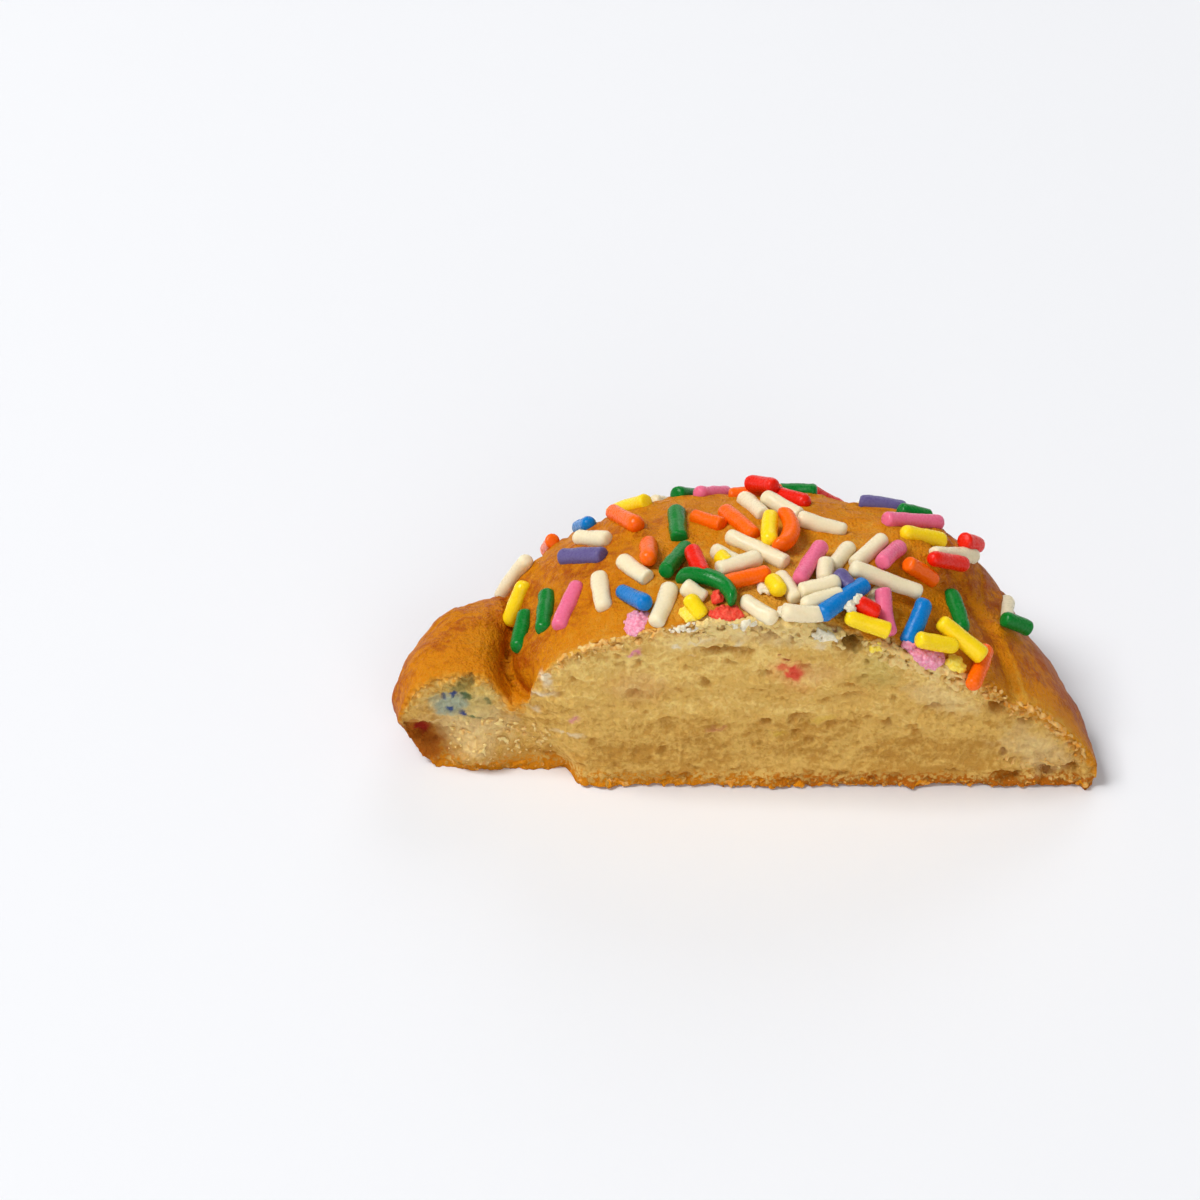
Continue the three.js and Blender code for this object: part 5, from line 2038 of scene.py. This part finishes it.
CRUSHED_BITS = tuple(Crushed(colour, *place) for colour, places in (
    (SugarColour.RED, ((-3.4, 3.3, 0.5, 0.9, 60, 0.5, 0.5), (-2.5, 1.2, 1.6, 1.0, 170, 0.5, 0.1))),
    (SugarColour.PINK, (
        (-11.8, 1.9, 1.5, 1.5, 170, 0.5), (18.5, 0.9, 1.9, 1.5, 300, 0.52, 0.2),
        (16.6, 1.4, 0.6, 0.7, 50, 0.5, 0.4),
    )),
    (SugarColour.YELLOW, (
        (-6.1, 1.5, 1.2, 1.0, 130, 0.5, 0.1), (21.6, 1.2, 0.9, 0.9, 120, 0.5, 0.3),
        (13.2, -0.7, 1.0, 0.6, 30, 0.4),
    )),
    (SugarColour.WHITE, (
        (4.0, 1.4, 1.1, 0.9, 130, 0.5, 0.2), (7.9, -0.8, 1.8, 0.8, 70, 0.4),
        (1.7, 4.6, 1.0, 0.9, 70, 0.5, 0.3), (-6.9, -0.5, 1.9, 0.6, 40, 0.38),
        (-0.6, -0.6, 1.6, 0.6, 50, 0.4), (9.6, 2.2, 0.7, 0.5, 60, 0.32, 2.2),
        (10.4, 3.1, 0.7, 0.55, 60, 0.32, 2.25),
    )),
) for place in places)


# ---- Studio ------------------------------------------------------------------------------------------


@dataclass
class Studio:
    """A pale floor, soft light and the camera."""

    elevation: float = 41.0
    distance: float = 400.0
    focal_pixels: float = 3704.0
    frame_pixels: float = 1200.0
    cookie_pixel: Pair = (745.0, 787.0)
    sensor: float = 36.0
    floor_size: float = 4.0
    floor_tone: Tone = (237, 238, 241)
    floor_roughness: float = 0.9
    floor_gloss: float = 0.2
    world_light: Pair = (0.72, 0.2)
    ceiling_from: Pair = (0.1, 0.4)
    aim: Triple = (0.0, 0.0, 0.01)
    lights: tuple[tuple[str, Triple, float, float], ...] = (
        ("key", (-1.1, -0.1, 1.75), 0.8, 35.0),
        ("front_fill", (0.4, -1.9, 1.0), 1.2, 12.0),
        ("back_fill", (0.4, 1.9, 1.3), 1.2, 9.0),
    )

    def camera(self) -> None:
        """Places the camera where it sees the cut as shown."""
        data = bpy.data.cameras.new("camera")
        data.sensor_width = self.sensor
        data.lens = self.focal_pixels / self.frame_pixels * self.sensor
        camera = bpy.data.objects.new("camera", data)
        bpy.context.scene.collection.objects.link(camera)
        tilt = math.radians(self.elevation)
        right, up = Vector((1, 0, 0)), Vector((0, math.sin(tilt), math.cos(tilt)))
        back = Vector((0, -math.cos(tilt), math.sin(tilt)))
        half = 0.5 * self.frame_pixels
        per_pixel = self.distance / self.focal_pixels
        place = back * self.distance - right * (self.cookie_pixel[0] - half) * per_pixel
        place = place - up * (half - self.cookie_pixel[1]) * per_pixel
        place = (place - Vector((*BOX_MIDDLE, 0.0))) * MM
        turn = Matrix((right, up, back)).transposed().to_4x4()
        camera.matrix_world = Matrix.Translation(place) @ turn
        bpy.context.scene.camera = camera

    def floor(self) -> Piece:
        """A plain pale floor."""
        ground = primitive("floor", bpy.ops.mesh.primitive_plane_add, size=self.floor_size)
        made, sheet, shader = new_material("floor")
        sheet.set_inputs(shader, {"Base Color": rgb(self.floor_tone), "Roughness": self.floor_roughness,
                                  "Specular IOR Level": self.floor_gloss})
        ground.data.materials.append(made)
        return ground

    def light(self, name: str, place: Triple, size: float, watts: float) -> None:
        """Hangs one square soft light that faces the cookie."""
        data = bpy.data.lights.new(name, "AREA")
        data.size = size
        data.energy = watts
        lamp = bpy.data.objects.new(name, data)
        bpy.context.scene.collection.objects.link(lamp)
        turn = (Vector(self.aim) - Vector(place)).to_track_quat("-Z", "Y").to_matrix().to_4x4()
        lamp.matrix_world = Matrix.Translation(Vector(place)) @ turn

    def build(self) -> None:
        """Sets up the whole studio."""
        scene = bpy.context.scene
        scene.view_settings.view_transform = "Standard"
        world = bpy.data.worlds.new("studio")
        scene.world = world
        world.use_nodes = True
        sheet = NodeSheet(world.node_tree)
        view = sheet.node("ShaderNodeSeparateXYZ")
        sheet.feed(view.inputs[0], sheet.node("ShaderNodeTexCoord").outputs["Generated"])
        strength = sheet.span(view.outputs[2], *self.ceiling_from, *self.world_light)
        white = (1.0, 1.0, 1.0)
        sheet.set_inputs(world.node_tree.nodes["Background"], {"Strength": strength, "Color": white})
        self.floor()
        for name, place, size, watts in self.lights:
            self.light(name, place, size, watts)
        self.camera()


def dress(piece: Piece, material: Material) -> None:
    """Gives a piece its finish and lets it stand for its part of the solid."""
    piece.data.materials.clear()
    piece.data.materials.append(material)
    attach(piece, BODY)
    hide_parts(NODE)
    piece.data.calc_loop_triangles()
    LOG.info("%s: %d triangles", piece.name, len(piece.data.loop_triangles))


def main() -> None:
    """Builds the cookie half and its studio, one class at a time."""
    logging.basicConfig(level=logging.INFO, format="%(message)s")
    crust = CrustForm()
    cut = CutForm()
    surface = EdgeSurface(crust, cut)
    sprinkles = Sprinkles(crust, SprinkleLayout(crust), surface)
    seats = sprinkles.seats()
    body = CookieBody(crust, cut).build(seats)
    smooth_by_angle(body, 180.0)
    dress(body, CookieFinish().material())
    crumbs = Crumbs(surface).build()
    dress(crumbs, CrumbGrainFinish().material())
    for colour, piece in sprinkles.build(seats, CRUSHED_BITS).items():
        dress(piece, SUGARS[colour].material(f"sugar_{colour.value}"))
    Studio().build()


if __name__ == "__main__":
    main()
